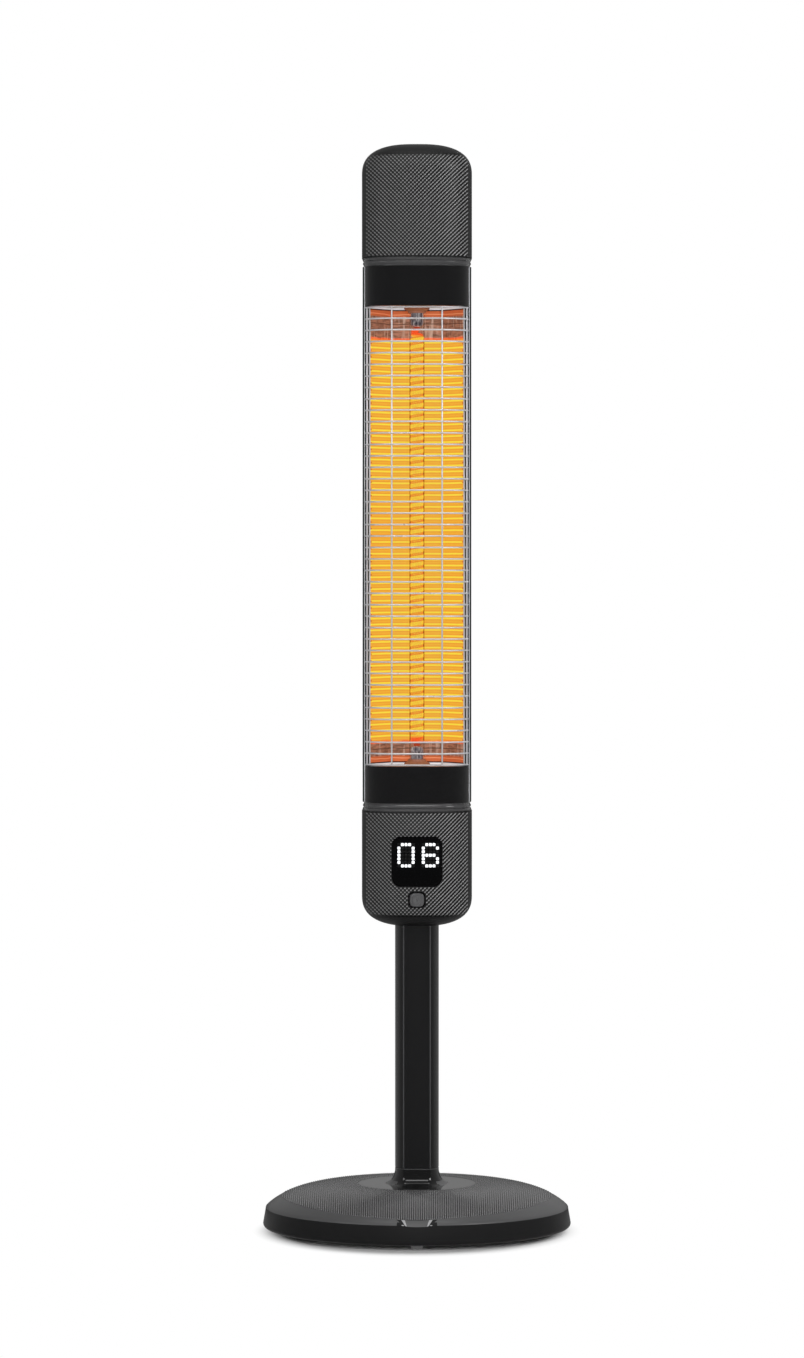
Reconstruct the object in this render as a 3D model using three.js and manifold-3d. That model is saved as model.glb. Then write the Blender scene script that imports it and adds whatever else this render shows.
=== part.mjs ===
// Carbon heater on a round stand: a tall head with one glowing carbon tube, on a pole.
// Millimetres, +Z up, front towards -Y. The origin is on the floor, below the pole's axis.
import * as THREE from 'three';
import { mergeVertices } from 'three/addons/utils/BufferGeometryUtils.js';
import Module from 'manifold-3d';

const wasm = await Module();
wasm.setup();

// Clearances and cutting
const fitGap = 0.3;
const overrun = 2;

// Round stand
const baseRadius = 147.75;
const footHeight = 4;
const baseWallHeight = 18.5;
const baseWallTaper = 2.6;
const baseWallThickness = 3;
const baseEdgeRadius = 4;
const baseLipHeight = 2.6;
const domeRise = 23;
const flangeRadius = 56.4;
const domeShoulder = 16.5;
const domeSwell = 42.9;
const domeShoulderRise = 17.5;
const domeCrest = 0.9;
const neckRise = 15.7;
const neckFootHalf = 31;
const notchInnerHalf = 14;
const notchOuterHalf = 9.5;
const notchFlankRun = 5;
const notchDepth = 1.8;
const notchLength = 15;
const notchSlope = 12.5;
const basePlateThickness = 2;
const ballastInset = 35.75;
const ballastThickness = 8;
const footRadius = 6.5;
const footToeRadius = 5;
const footInset = 14.75;

// Pole
const poleWidth = 42;
const poleDepth = 40;
const poleFlatWidth = 25.2;
const poleWall = 1.6;
const poleVisibleLength = 230.8;
const poleInsertion = 38;
const plugLength = 30;

// Head outline and heights
const headWidth = 105.6;
const headDepth = 98;
const headSquareness = 3;
const bodyInset = 0.6;
const bottomCapHeight = 112.2;
const trimHeight = 8.1;
const lowerPanelHeight = 35.2;
const windowHeight = 439;
const upperPanelHeight = 38.4;
const topCapHeight = 110.2;
const crownHeight = 30;
const crownSquareness = 2.6;
const apexShare = 0.25;
const capWall = 2.2;
const casingWall = 2;
const panelWall = 2;
const casingEdgeY = 24;
const trimGrooveDepth = 1.5;
const grooveShare = 0.28;
const ridgeShare = 0.2;
const trimSpigotLength = 7;
const trimSpigotWall = 2;

// Grille
const wireThickness = 1.6;
const grilleWires = 41;
const grilleRibX = 24;
const grilleBendInset = 9.8;
const grilleRailWidth = 2.9;
const grilleWeld = 0.5;

// Heating chamber
const endPlateThickness = 1.5;
const reflectorSheet = 0.8;
const reflectorSideGap = 2.7;
const reflectorFlatWidth = 48;
const reflectorDepth = 34;
const reflectorEdgeY = 20;
const tubeRadius = 7.2;
const tubeWall = 0.8;
const tubeY = -6;
const filamentPitch = 6.33;
const ribbonHeight = 4.4;
const ribbonThickness = 1.1;
const filamentEndMargin = 30;
const filamentLeadTurns = 0.75;
const filamentLeadRise = 9;
const holderFlangeRadius = 12.5;
const holderFlangeThickness = 3.2;
const holderTipLength = 3.8;
const holderWall = 1.6;
const holderStemLength = 17;
const holderEndWall = 4;
const terminalRodRadius = 2;
const terminalPlugLength = 5;
const terminalStubLength = 6;
const leadRadius = 2;
const leadBackY = 30;
const leadSpacing = 12;
const cutoutRadius = 8;
const cutoutThickness = 6;
const cutoutDrop = 80.2;

// Display and button
const lensSide = 47.9;
const lensCorner = 8.3;
const lensCentreHeight = 65.1;
const lensThickness = 2.4;
const displayModuleWidth = 42;
const displayModuleHeight = 30;
const displayModuleRise = 6.9;
const boardThickness = 1.6;
const displayBoardWidth = 52;
const displayBoardTop = 98;
const displayBoardBottom = 15;
const displayBoardSetback = 14.5;
const buttonHoleWidth = 16.9;
const buttonHoleHeight = 15.8;
const buttonWidth = 13.6;
const buttonHeight = 12.8;
const buttonSquareness = 3.2;
const buttonCentreHeight = 28.6;
const buttonProud = 0.2;
const buttonTravel = 1;
const buttonFlange = 1.2;
const buttonFlangeThickness = 1;
const bezelRecess = 0.8;
const bezelFlange = 1.4;
const bezelFlangeThickness = 1.5;
const switchSide = 12;
const plungerRadius = 1.75;
const plungerReach = 1.4;
const postRadius = 3;
const displayPostX = 21;
const displayPostLow = 20;
const displayPostHigh = 93;

// Power electronics in the bottom cap
const controlBoardSideGap = 14.6;
const controlBoardBottom = 52;
const controlBoardTop = 106;
const controlBoardY = 32.4;
const controlPostInset = 6;
const relayWidth = 19;
const relayHeight = 16;
const relayDepth = 15;
const terminalBlockWidth = 28;
const terminalBlockHeight = 12;
const terminalBlockDepth = 12;
const tiltSwitchRadius = 5.5;
const tiltSwitchLength = 14;
const componentInset = 14;
const componentHeight = 70;
const ribbonCableWidth = 12;
const ribbonCableThickness = 0.8;
const ribbonCableSlack = 8;
const ribbonCableX = 22;

// Cable gland in the rear of the bottom cap
const glandHeight = 40;
const glandBoreRadius = 4;
const glandBodyRadius = 7;
const glandFlangeRadius = 9.5;
const glandFlangeThickness = 4;
const glandNoseRadius = 6.5;
const glandNoseLength = 5;
const glandInsideLength = 9;
const glandNutThickness = 4;

// Bracket that joins head and pole
const bracketSideGap = 10.6;
const bracketEndGap = 20.8;
const bracketThickness = 3;
const bracketScrewInset = 7;
const bossRadius = 4.5;

// Screws
const screwRadius = 1.5;
const screwHeadRadius = 3;
const screwHeadHeight = 2;
const screwLength = 12;
const boltRadius = 3;
const boltHeadRadius = 5;
const boltHeadHeight = 2.7;
const boltLength = 28;
const boltSpacing = 18;
const coverScrewInset = 23.75;
const casingScrewX = 26;

// Facet counts
const headFacets = 32;
const casingFacets = 24;
const panelFacets = 16;
const buttonFacets = 20;
const baseFacets = 36;
const domeSteps = 6;
const neckSteps = 4;
const crownSteps = 5;
const poleSideFacets = 6;
const roundFacets = 12;
const screwFacets = 6;

// Heights worked out from the sizes above
const basePlateZ = footHeight;
const ballastZ = basePlateZ + basePlateThickness + fitGap;
const plugZ = ballastZ + ballastThickness + fitGap;
const rimZ = footHeight + baseWallHeight;
const domeZ = rimZ + domeRise;
const neckZ = domeZ + neckRise;
const poleZ = neckZ + fitGap;
const headZ = neckZ + poleVisibleLength;
const poleTopZ = headZ + poleInsertion;
const lowerTrimZ = headZ + bottomCapHeight;
const casingZ = lowerTrimZ + trimHeight;
const windowZ = casingZ + lowerPanelHeight;
const windowTopZ = windowZ + windowHeight;
const upperTrimZ = windowTopZ + upperPanelHeight;
const topCapZ = upperTrimZ + trimHeight;
const headTopZ = topCapZ + topCapHeight;
const plateInset = bodyInset + casingWall + fitGap;
const lowerPlateFaceZ = windowZ - 2 * fitGap;
const upperPlateFaceZ = windowTopZ + 2 * fitGap;

// Materials
const paint = (color, roughness, metalness) => (
  new THREE.MeshStandardMaterial({ color, roughness, metalness })
);
const blackPlastic = paint(0x2b2b2c, 0.55, 0);
const texturedPlastic = paint(0x3c3c3d, 0.5, 0);
const glossBlack = paint(0x141414, 0.12, 0);
const blackMetal = paint(0x1d1d1e, 0.4, 0.6);
const steel = paint(0x9a9a9c, 0.4, 0.9);
const brightSteel = paint(0xb9b9bd, 0.25, 1);
const aluminium = paint(0xa8abae, 0.4, 0.9);
const copperSheet = paint(0xc9772f, 0.2, 1);
const ceramic = paint(0xd9cfc0, 0.8, 0);
const quartz = paint(0xf2e2d0, 0.05, 0);
const glowingCarbon = paint(0xf08a24, 0.7, 0);
const rubber = paint(0x151515, 0.9, 0);
const circuitGreen = paint(0x1e5b38, 0.6, 0);
const partBlack = paint(0x1a1a1a, 0.6, 0);
const partWhite = paint(0xe2e2dc, 0.6, 0);
const wireRed = paint(0x8d2218, 0.7, 0);
const buttonGrey = paint(0x4c4c4e, 0.45, 0);

const heater = new THREE.Group();

function place(name, geometry, material) {
  const mesh = new THREE.Mesh(geometry, material);
  mesh.name = name;
  heater.add(mesh);
}

// Points only, with shared corners merged
function weld(geometry) {
  const bare = geometry.clone();
  bare.deleteAttribute('normal');
  bare.deleteAttribute('uv');
  return mergeVertices(bare);
}

// Turns every face outwards, by the sign of the enclosed volume
function faceOutward(geometry) {
  const welded = weld(geometry);
  const position = welded.getAttribute('position');
  const index = welded.getIndex().array;
  const [a, b, c] = [new THREE.Vector3(), new THREE.Vector3(), new THREE.Vector3()];
  let volume = 0;
  for (let i = 0; i < index.length; i += 3) {
    a.fromBufferAttribute(position, index[i]);
    b.fromBufferAttribute(position, index[i + 1]);
    c.fromBufferAttribute(position, index[i + 2]);
    volume += a.dot(b.cross(c));
  }
  if (volume < 0) {
    for (let i = 0; i < index.length; i += 3) {
      [index[i], index[i + 1]] = [index[i + 1], index[i]];
    }
  }
  welded.computeVertexNormals();
  return welded;
}

function toSolid(geometry) {
  const outward = faceOutward(geometry);
  return new wasm.Manifold(new wasm.Mesh({
    numProp: 3,
    vertProperties: new Float32Array(outward.getAttribute('position').array),
    triVerts: new Uint32Array(outward.getIndex().array),
  }));
}

function toGeometry(solid) {
  const mesh = solid.getMesh();
  const geometry = new THREE.BufferGeometry();
  geometry.setAttribute('position', new THREE.BufferAttribute(new Float32Array(mesh.vertProperties), 3));
  geometry.setIndex(new THREE.BufferAttribute(new Uint32Array(mesh.triVerts), 1));
  geometry.computeVertexNormals();
  return geometry;
}

const cut = (body, ...tools) => (
  toGeometry(tools.reduce((left, tool) => left.subtract(toSolid(tool)), toSolid(body)))
);
const join = (...bodies) => toGeometry(bodies.map(toSolid).reduce((left, right) => left.add(right)));
const common = (first, second) => toGeometry(toSolid(first).intersect(toSolid(second)));

// A straight solid of an outline in X and Y, from one height to another
function upright(outline, lowZ, highZ, holes = []) {
  const shape = new THREE.Shape(outline);
  shape.holes = holes.map((hole) => new THREE.Path(hole));
  const geometry = new THREE.ExtrudeGeometry(shape, { depth: highZ - lowZ, bevelEnabled: false, steps: 1 });
  geometry.translate(0, 0, lowZ);
  return faceOutward(geometry);
}

// A straight solid of an outline in X and Z, between two depths
function fromFront(outline, frontY, backY, holes = []) {
  const geometry = upright(outline, 0, backY - frontY, holes);
  geometry.rotateX(Math.PI / 2);
  geometry.translate(0, backY, 0);
  return geometry;
}

// A straight solid of an outline in Y and Z, along X about a centre
function fromSide(outline, centreX, width) {
  const geometry = upright(outline, -width / 2, width / 2);
  geometry.rotateY(Math.PI / 2);
  geometry.rotateX(Math.PI / 2);
  geometry.translate(centreX, 0, 0);
  return geometry;
}

// A turned solid about a vertical axis, from points of radius and height
function turned(profile, facets, x = 0, y = 0) {
  const points = profile.map(([radius, height]) => new THREE.Vector2(radius, height));
  const geometry = new THREE.LatheGeometry(points, facets, Math.PI / 2);
  geometry.rotateX(Math.PI / 2);
  geometry.translate(x, y, 0);
  return faceOutward(geometry);
}

// A turned solid about an axis along Y
function turnedAlongY(profile, facets, x, z) {
  const geometry = turned(profile, facets);
  geometry.rotateX(-Math.PI / 2);
  geometry.translate(x, 0, z);
  return geometry;
}

const closedProfile = (profile) => [...profile, profile[0]];
const rod = (radius, lowZ, highZ, facets, x = 0, y = 0) => (
  turned([[0, lowZ], [radius, lowZ], [radius, highZ], [0, highZ]], facets, x, y)
);
const rodAlongY = (radius, frontY, backY, facets, x, z) => (
  turnedAlongY([[0, frontY], [radius, frontY], [radius, backY], [0, backY]], facets, x, z)
);

// Joins rings of equal counts into one closed skin, with a flat fan over each end
function loft(rings) {
  const count = rings[0].length;
  const points = rings.flat();
  const index = [];
  for (let ring = 0; ring + 1 < rings.length; ring += 1) {
    for (let i = 0; i < count; i += 1) {
      const a = ring * count + i;
      const b = ring * count + ((i + 1) % count);
      index.push(a, b, a + count, b, b + count, a + count);
    }
  }
  for (const [first, turn] of [[0, 1], [(rings.length - 1) * count, -1]]) {
    for (let i = 1; i + 1 < count; i += 1) {
      const pair = turn > 0 ? [i + 1, i] : [i, i + 1];
      index.push(first, first + pair[0], first + pair[1]);
    }
  }
  const geometry = new THREE.BufferGeometry().setFromPoints(points);
  geometry.setIndex(index);
  return faceOutward(geometry);
}

const roundedPower = (value, power) => Math.sign(value) * Math.abs(value) ** power;

// A point of a rounded square at an angle
function squarePoint(halfX, halfY, squareness, angle) {
  return new THREE.Vector2(
    halfX * roundedPower(Math.cos(angle), 2 / squareness),
    halfY * roundedPower(Math.sin(angle), 2 / squareness),
  );
}

function roundedSquare(halfX, halfY, squareness, facets, centreX = 0, centreY = 0) {
  return Array.from({ length: facets }, (_, i) => {
    const point = squarePoint(halfX, halfY, squareness, (2 * Math.PI * i) / facets);
    return new THREE.Vector2(point.x + centreX, point.y + centreY);
  });
}

const circle = (radius, facets, x = 0, y = 0) => roundedSquare(radius, radius, 2, facets, x, y);
const headOutline = (inset) => (
  roundedSquare(headWidth / 2 - inset, headDepth / 2 - inset, headSquareness, headFacets)
);

function rectangle(lowX, lowY, highX, highY) {
  const corners = [[lowX, lowY], [highX, lowY], [highX, highY], [lowX, highY]];
  return corners.map(([x, y]) => new THREE.Vector2(x, y));
}

// The head's outline in front of a depth, as one arc of points from left to right
function frontArc(inset, edgeY, facets) {
  const halfX = headWidth / 2 - inset;
  const halfY = headDepth / 2 - inset;
  const edgeAngle = Math.asin((edgeY / halfY) ** (headSquareness / 2));
  const sweep = Math.PI - 2 * edgeAngle;
  return Array.from({ length: facets + 1 }, (_, i) => (
    squarePoint(halfX, halfY, headSquareness, Math.PI + edgeAngle + (sweep * i) / facets)
  ));
}

// The head's outline behind the same depth, from right to left
function rearArc(inset, edgeY, facets) {
  const halfX = headWidth / 2 - inset;
  const halfY = headDepth / 2 - inset;
  const edgeAngle = Math.asin((edgeY / halfY) ** (headSquareness / 2));
  const sweep = Math.PI + 2 * edgeAngle;
  return Array.from({ length: facets + 1 }, (_, i) => (
    squarePoint(halfX, halfY, headSquareness, -edgeAngle + (sweep * i) / facets)
  ));
}

// The outline of a bent sheet: a line of points and the same line moved sideways
function bentSheet(line, thickness) {
  const sharpestBend = 0.5;
  const moved = line.map((point, i) => {
    const before = line[Math.max(i - 1, 0)];
    const after = line[Math.min(i + 1, line.length - 1)];
    const inward = i > 0 ? point.clone().sub(before).normalize() : after.clone().sub(point).normalize();
    const outward = i < line.length - 1 ? after.clone().sub(point).normalize() : inward;
    const side = inward.clone().add(outward).normalize();
    const reach = thickness / Math.max(side.dot(outward), sharpestBend);
    return new THREE.Vector2(point.x - side.y * reach, point.y + side.x * reach);
  });
  return [...line, ...moved.reverse()];
}

// The pole's section: flat front and rear, with round sides that meet them at an edge
function poleOutline(inset) {
  const halfFlat = poleFlatWidth / 2;
  const halfDepth = poleDepth / 2 - inset;
  const halfWidth = poleWidth / 2 - inset;
  const centre = (halfWidth ** 2 - halfFlat ** 2 - halfDepth ** 2) / (2 * (halfWidth - halfFlat));
  const radius = halfWidth - centre;
  const reach = Math.asin(halfDepth / radius);
  const right = Array.from({ length: poleSideFacets + 1 }, (_, i) => {
    const angle = -reach + (2 * reach * i) / poleSideFacets;
    return new THREE.Vector2(centre + radius * Math.cos(angle), radius * Math.sin(angle));
  });
  const left = right.map((point) => new THREE.Vector2(-point.x, -point.y));
  return [...right, ...left];
}

// A pan-head screw standing on its head, pointing up or down
function screw(headFaceZ, direction, x, y, sizes) {
  const { radius, headRadius, headHeight, length } = sizes;
  const tipZ = headFaceZ + direction * (headHeight + length);
  const shoulderZ = headFaceZ + direction * headHeight;
  return turned([
    [0, headFaceZ], [headRadius, headFaceZ], [headRadius, shoulderZ],
    [radius, shoulderZ], [radius, tipZ], [0, tipZ],
  ], screwFacets, x, y);
}

const smallScrew = {
  radius: screwRadius, headRadius: screwHeadRadius, headHeight: screwHeadHeight, length: screwLength,
};
const poleBolt = {
  radius: boltRadius, headRadius: boltHeadRadius, headHeight: boltHeadHeight, length: boltLength,
};
const ringPlaces = (radius, turn) => [0, 1, 2, 3].map((i) => {
  const angle = turn + (i * Math.PI) / 2;
  return [radius * Math.cos(angle), radius * Math.sin(angle)];
});
const coverScrewPlaces = ringPlaces(baseRadius - coverScrewInset, Math.PI / 4);
const boltPlaces = [-boltSpacing / 2, boltSpacing / 2];
const underPlateScrewZ = basePlateZ - fitGap - screwHeadHeight;
const underPlateBoltZ = basePlateZ - fitGap - boltHeadHeight;

// Round stand

// The dome from the rim's edge to the flat flange, moved inwards by an inset
function domeCurve(inset) {
  const rimRadius = baseRadius - baseWallTaper - inset;
  const curve = new THREE.CubicBezierCurve(
    new THREE.Vector2(rimRadius, rimZ - inset / 2),
    new THREE.Vector2(rimRadius - domeShoulder, rimZ + domeShoulderRise - inset),
    new THREE.Vector2(rimRadius - domeSwell, domeZ + domeCrest - inset),
    new THREE.Vector2(flangeRadius, domeZ - inset),
  );
  return curve.getPoints(domeSteps).map((point) => [point.x, point.y]);
}

function baseSolid() {
  const wallTop = domeCurve(0);
  const rounding = [0, 0.5, 1].map((share) => {
    const angle = (share * Math.PI) / 2;
    return [
      baseRadius - baseEdgeRadius * (1 - Math.sin(angle)),
      footHeight + baseEdgeRadius * (1 - Math.cos(angle)),
    ];
  });
  return turned([[0, footHeight], ...rounding, ...wallTop, [0, domeZ]], baseFacets);
}

function baseHollow() {
  const lipRadius = baseRadius - baseEdgeRadius - baseWallThickness;
  const lipZ = footHeight + baseLipHeight;
  const wideZ = lipZ + baseWallThickness;
  return turned([
    [0, footHeight - overrun], [lipRadius, footHeight - overrun], [lipRadius, lipZ],
    [baseRadius - baseWallThickness, wideZ],
    ...domeCurve(baseWallThickness), [0, domeZ - baseWallThickness],
  ], baseFacets);
}

// The neck is as wide as the pole at its top, and flares down to the flange
function neckSolid() {
  const rings = [];
  for (let i = 0; i <= neckSteps; i += 1) {
    const angle = (i / neckSteps) * (Math.PI / 2);
    const flare = (neckFootHalf - poleWidth / 2) * (1 - Math.sin(angle));
    const z = domeZ - fitGap + (neckRise + fitGap) * (1 - Math.cos(angle));
    rings.push(poleOutline(-flare).map((point) => new THREE.Vector3(point.x, point.y, z)));
  }
  return loft(rings);
}

// The scoop in the front of the stand's border
function notchSolid() {
  const rimY = -(baseRadius - baseWallTaper);
  const roofSteps = 3;
  const ring = (y, halfWidth) => {
    const floorZ = rimZ - notchDepth + (notchSlope * (y - rimY)) / notchLength;
    const roofZ = floorZ + roofSteps * notchDepth;
    const roofHalf = halfWidth + roofSteps * notchFlankRun;
    const corners = [[-roofHalf, roofZ], [-halfWidth, floorZ], [halfWidth, floorZ], [roofHalf, roofZ]];
    return corners.map(([x, z]) => new THREE.Vector3(x, y, z));
  };
  return loft([ring(rimY + notchLength, notchInnerHalf), ring(-baseRadius - overrun, notchOuterHalf)]);
}

function baseCover() {
  const outer = baseSolid();
  const bosses = coverScrewPlaces.map(([x, y]) => (
    common(rod(bossRadius, basePlateZ + basePlateThickness + fitGap, domeZ, screwFacets, x, y), outer)
  ));
  const shell = join(cut(outer, baseHollow()), ...bosses, neckSolid());
  const screwTipZ = underPlateScrewZ + screwHeadHeight + screwLength;
  const screwHoles = coverScrewPlaces.map(([x, y]) => (
    rod(screwRadius + fitGap, footHeight, screwTipZ + overrun, screwFacets, x, y)
  ));
  const plugHole = upright(poleOutline(poleWall), footHeight, neckZ + overrun);
  return cut(shell, plugHole, notchSolid(), ...screwHoles);
}

function basePlate() {
  const radius = baseRadius - baseEdgeRadius - baseWallThickness - fitGap;
  const holes = [
    ...coverScrewPlaces.map(([x, y]) => circle(screwRadius + fitGap, screwFacets, x, y)),
    ...boltPlaces.map((x) => circle(boltRadius + fitGap, screwFacets, x, 0)),
  ];
  return upright(circle(radius, baseFacets), basePlateZ, basePlateZ + basePlateThickness, holes);
}

function ballastPlate() {
  const holes = boltPlaces.map((x) => circle(boltRadius + fitGap, screwFacets, x, 0));
  return upright(circle(baseRadius - ballastInset, baseFacets), ballastZ, ballastZ + ballastThickness, holes);
}

function rubberFoot(x, y) {
  const topZ = footHeight - fitGap;
  return turned([[0, 0], [footToeRadius, 0], [footRadius, topZ], [0, topZ]], roundFacets, x, y);
}

place('base_cover', baseCover(), blackPlastic);
place('base_plate', basePlate(), blackMetal);
place('ballast_plate', ballastPlate(), steel);
const footPlaces = ringPlaces(baseRadius - footInset, -Math.PI / 2);
['front', 'right', 'rear', 'left'].forEach((side, i) => {
  place(`foot_${side}`, rubberFoot(...footPlaces[i]), rubber);
});
coverScrewPlaces.forEach(([x, y], i) => {
  place(`cover_screw_${i + 1}`, screw(underPlateScrewZ, 1, x, y, smallScrew), steel);
});
boltPlaces.forEach((x, i) => {
  place(`pole_bolt_${i + 1}`, screw(underPlateBoltZ, 1, x, 0, poleBolt), steel);
});

// Pole on the neck, with a plug that runs from the ballast up into it, and a bracket in its top

function footPlug() {
  const tapped = boltPlaces.map((x) => circle(boltRadius + fitGap, screwFacets, x, 0));
  return upright(poleOutline(poleWall + fitGap), plugZ, neckZ + plugLength, tapped);
}

const bracketHalfX = headWidth / 2 - capWall - bracketSideGap;
const bracketHalfY = headDepth / 2 - capWall - bracketEndGap;
const bracketPlaces = [[1, 1], [-1, 1], [-1, -1], [1, -1]].map(([sideX, sideY]) => (
  [sideX * (bracketHalfX - bracketScrewInset), sideY * (bracketHalfY - bracketScrewInset)]
));
const bracketZ = poleTopZ + fitGap;
const bracketTopZ = bracketZ + bracketThickness;

function headBracket() {
  const middleZ = (bracketZ + bracketTopZ) / 2;
  const plug = upright(poleOutline(poleWall + fitGap), poleTopZ - plugLength, middleZ);
  const holes = bracketPlaces.map(([x, y]) => circle(screwRadius + fitGap, screwFacets, x, y));
  const outline = rectangle(-bracketHalfX, -bracketHalfY, bracketHalfX, bracketHalfY);
  return join(plug, upright(outline, bracketZ, bracketTopZ, holes));
}

place('pole', upright(poleOutline(0), poleZ, poleTopZ, [poleOutline(poleWall)]), blackMetal);
place('pole_foot_plug', footPlug(), aluminium);
place('head_bracket', headBracket(), aluminium);
bracketPlaces.forEach(([x, y], i) => {
  const headFaceZ = bracketTopZ + fitGap + screwHeadHeight;
  place(`bracket_screw_${i + 1}`, screw(headFaceZ, -1, x, y, smallScrew), steel);
});

// Caps of the head

// A straight wall that closes in a rounded crown; direction is 1 for a crown on top
function crownSolid(rimHeight, apexHeight, inset) {
  const direction = Math.sign(apexHeight - rimHeight);
  const crownRise = crownHeight - inset;
  const crownStart = apexHeight - direction * (crownRise + inset);
  const ring = (widthShare, z) => roundedSquare(
    (headWidth / 2 - inset) * widthShare, (headDepth / 2 - inset) * widthShare, headSquareness, headFacets,
  ).map((point) => new THREE.Vector3(point.x, point.y, z));
  const rings = [ring(1, rimHeight)];
  for (let i = 0; i < crownSteps; i += 1) {
    const corner = squarePoint(1, crownRise, crownSquareness, (i / crownSteps) * (Math.PI / 2));
    rings.push(ring(corner.x, crownStart + direction * corner.y));
  }
  const last = squarePoint(1, crownRise, crownSquareness, (1 - apexShare / crownSteps) * (Math.PI / 2));
  rings.push(ring(last.x, crownStart + direction * crownRise));
  return loft(rings);
}

function topCap() {
  return cut(
    crownSolid(topCapZ + fitGap, headTopZ, 0),
    crownSolid(topCapZ - overrun, headTopZ, capWall),
  );
}

const lensZ = headZ + lensCentreHeight;
const buttonZ = headZ + buttonCentreHeight;
const frontY = -headDepth / 2;
const rearY = headDepth / 2;
const boardFrontY = frontY + displayBoardSetback;
const glandZ = headZ + glandHeight;
const controlBoardBackY = controlBoardY + boardThickness;
const controlBoardHalf = headWidth / 2 - capWall - controlBoardSideGap;
const controlPostX = controlBoardHalf - controlPostInset;

function roundedRectangle(width, height, corner, centreZ) {
  const shape = new THREE.Shape();
  const [left, low] = [-width / 2, centreZ - height / 2];
  const [right, high] = [width / 2, centreZ + height / 2];
  shape.moveTo(left + corner, low);
  shape.lineTo(right - corner, low);
  shape.absarc(right - corner, low + corner, corner, -Math.PI / 2, 0, false);
  shape.lineTo(right, high - corner);
  shape.absarc(right - corner, high - corner, corner, 0, Math.PI / 2, false);
  shape.lineTo(left + corner, high);
  shape.absarc(left + corner, high - corner, corner, Math.PI / 2, Math.PI, false);
  shape.lineTo(left, low + corner);
  shape.absarc(left + corner, low + corner, corner, Math.PI, 1.5 * Math.PI, false);
  return shape.extractPoints(4).shape;
}

function bottomCap() {
  const outer = crownSolid(lowerTrimZ - fitGap, headZ, 0);
  const hollow = crownSolid(lowerTrimZ + overrun, headZ, capWall);
  const displayPosts = [-displayPostX, displayPostX].flatMap((x) => (
    [displayPostLow, displayPostHigh].map((height) => (
      rodAlongY(postRadius, frontY, boardFrontY - fitGap, screwFacets, x, headZ + height)
    ))
  ));
  const controlPosts = [-controlPostX, controlPostX].flatMap((x) => (
    [controlBoardBottom + controlPostInset, controlBoardTop - controlPostInset].map((height) => (
      rodAlongY(postRadius, controlBoardBackY + fitGap, rearY, screwFacets, x, headZ + height)
    ))
  ));
  const bosses = bracketPlaces.map(([x, y]) => rod(bossRadius, headZ, poleTopZ, screwFacets, x, y));
  const inside = [...displayPosts, ...controlPosts, ...bosses].map((post) => common(post, outer));
  const screwHoles = bracketPlaces.map(([x, y]) => (
    rod(screwRadius + fitGap, bracketZ - screwLength - fitGap, poleTopZ + overrun, screwFacets, x, y)
  ));
  const wallDepth = 4 * capWall;
  const window = fromFront(
    roundedRectangle(lensSide, lensSide, lensCorner, lensZ), frontY - overrun, frontY + wallDepth,
  );
  const buttonHole = fromFront(
    roundedSquare(buttonHoleWidth / 2, buttonHoleHeight / 2, buttonSquareness, buttonFacets, 0, buttonZ),
    frontY - overrun, frontY + wallDepth,
  );
  const glandHole = rodAlongY(
    glandBodyRadius + fitGap, rearY - wallDepth, rearY + overrun, roundFacets, 0, glandZ,
  );
  const poleHole = upright(poleOutline(-fitGap), headZ - overrun, headZ + crownHeight);
  return cut(join(cut(outer, hollow), ...inside), window, buttonHole, glandHole, poleHole, ...screwHoles);
}

place('top_cap', topCap(), texturedPlastic);
place('bottom_cap', bottomCap(), texturedPlastic);

// Grooved trim rings, with a spigot that sits inside the cap and the casing

function trimRing(lowZ) {
  const grooveShares = [
    [0, 0], [grooveShare, 1], [1 / 2, ridgeShare], [1 - grooveShare, 1], [1, 0],
  ];
  const rings = grooveShares.map(([heightShare, depthShare]) => {
    const z = lowZ + fitGap / 2 + (trimHeight - fitGap) * heightShare;
    const inset = bodyInset + trimGrooveDepth * depthShare;
    return headOutline(inset).map((point) => new THREE.Vector3(point.x, point.y, z));
  });
  const spigotInset = bodyInset + casingWall + fitGap;
  const [spigotLowZ, spigotHighZ] = [lowZ - trimSpigotLength, lowZ + trimHeight + trimSpigotLength];
  const spigot = upright(headOutline(spigotInset), spigotLowZ, spigotHighZ);
  const inside = upright(
    headOutline(spigotInset + trimSpigotWall), spigotLowZ - overrun, spigotHighZ + overrun,
  );
  return cut(join(loft(rings), spigot), inside);
}

const casingLowZ = casingZ + fitGap / 2;
const casingHighZ = upperTrimZ - fitGap / 2;
const lowerScrewZ = casingZ + trimSpigotLength / 2;
const upperScrewZ = upperTrimZ - trimSpigotLength / 2;
const casingScrewPlaces = [lowerScrewZ, upperScrewZ].flatMap((z) => [[casingScrewX, z], [-casingScrewX, z]]);
const casingScrewHoles = casingScrewPlaces.map(([x, z]) => (
  rodAlongY(screwRadius + fitGap, rearY - screwLength - overrun, rearY + overrun, screwFacets, x, z)
));

// How far the head's outline reaches one way at a distance along the other
const outlineReach = (along, halfAlong, half) => (
  half * (1 - (along / halfAlong) ** headSquareness) ** (1 / headSquareness)
);

place('lower_trim_ring', cut(trimRing(lowerTrimZ), ...casingScrewHoles), glossBlack);
place('upper_trim_ring', cut(trimRing(upperTrimZ), ...casingScrewHoles), glossBlack);

// Rear casing and the glossy panels in front of it

function rearCasing() {
  const outline = [
    ...rearArc(bodyInset, casingEdgeY, casingFacets),
    ...rearArc(bodyInset + casingWall, casingEdgeY, casingFacets).reverse(),
  ];
  return cut(upright(outline, casingLowZ, casingHighZ), ...casingScrewHoles);
}

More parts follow.
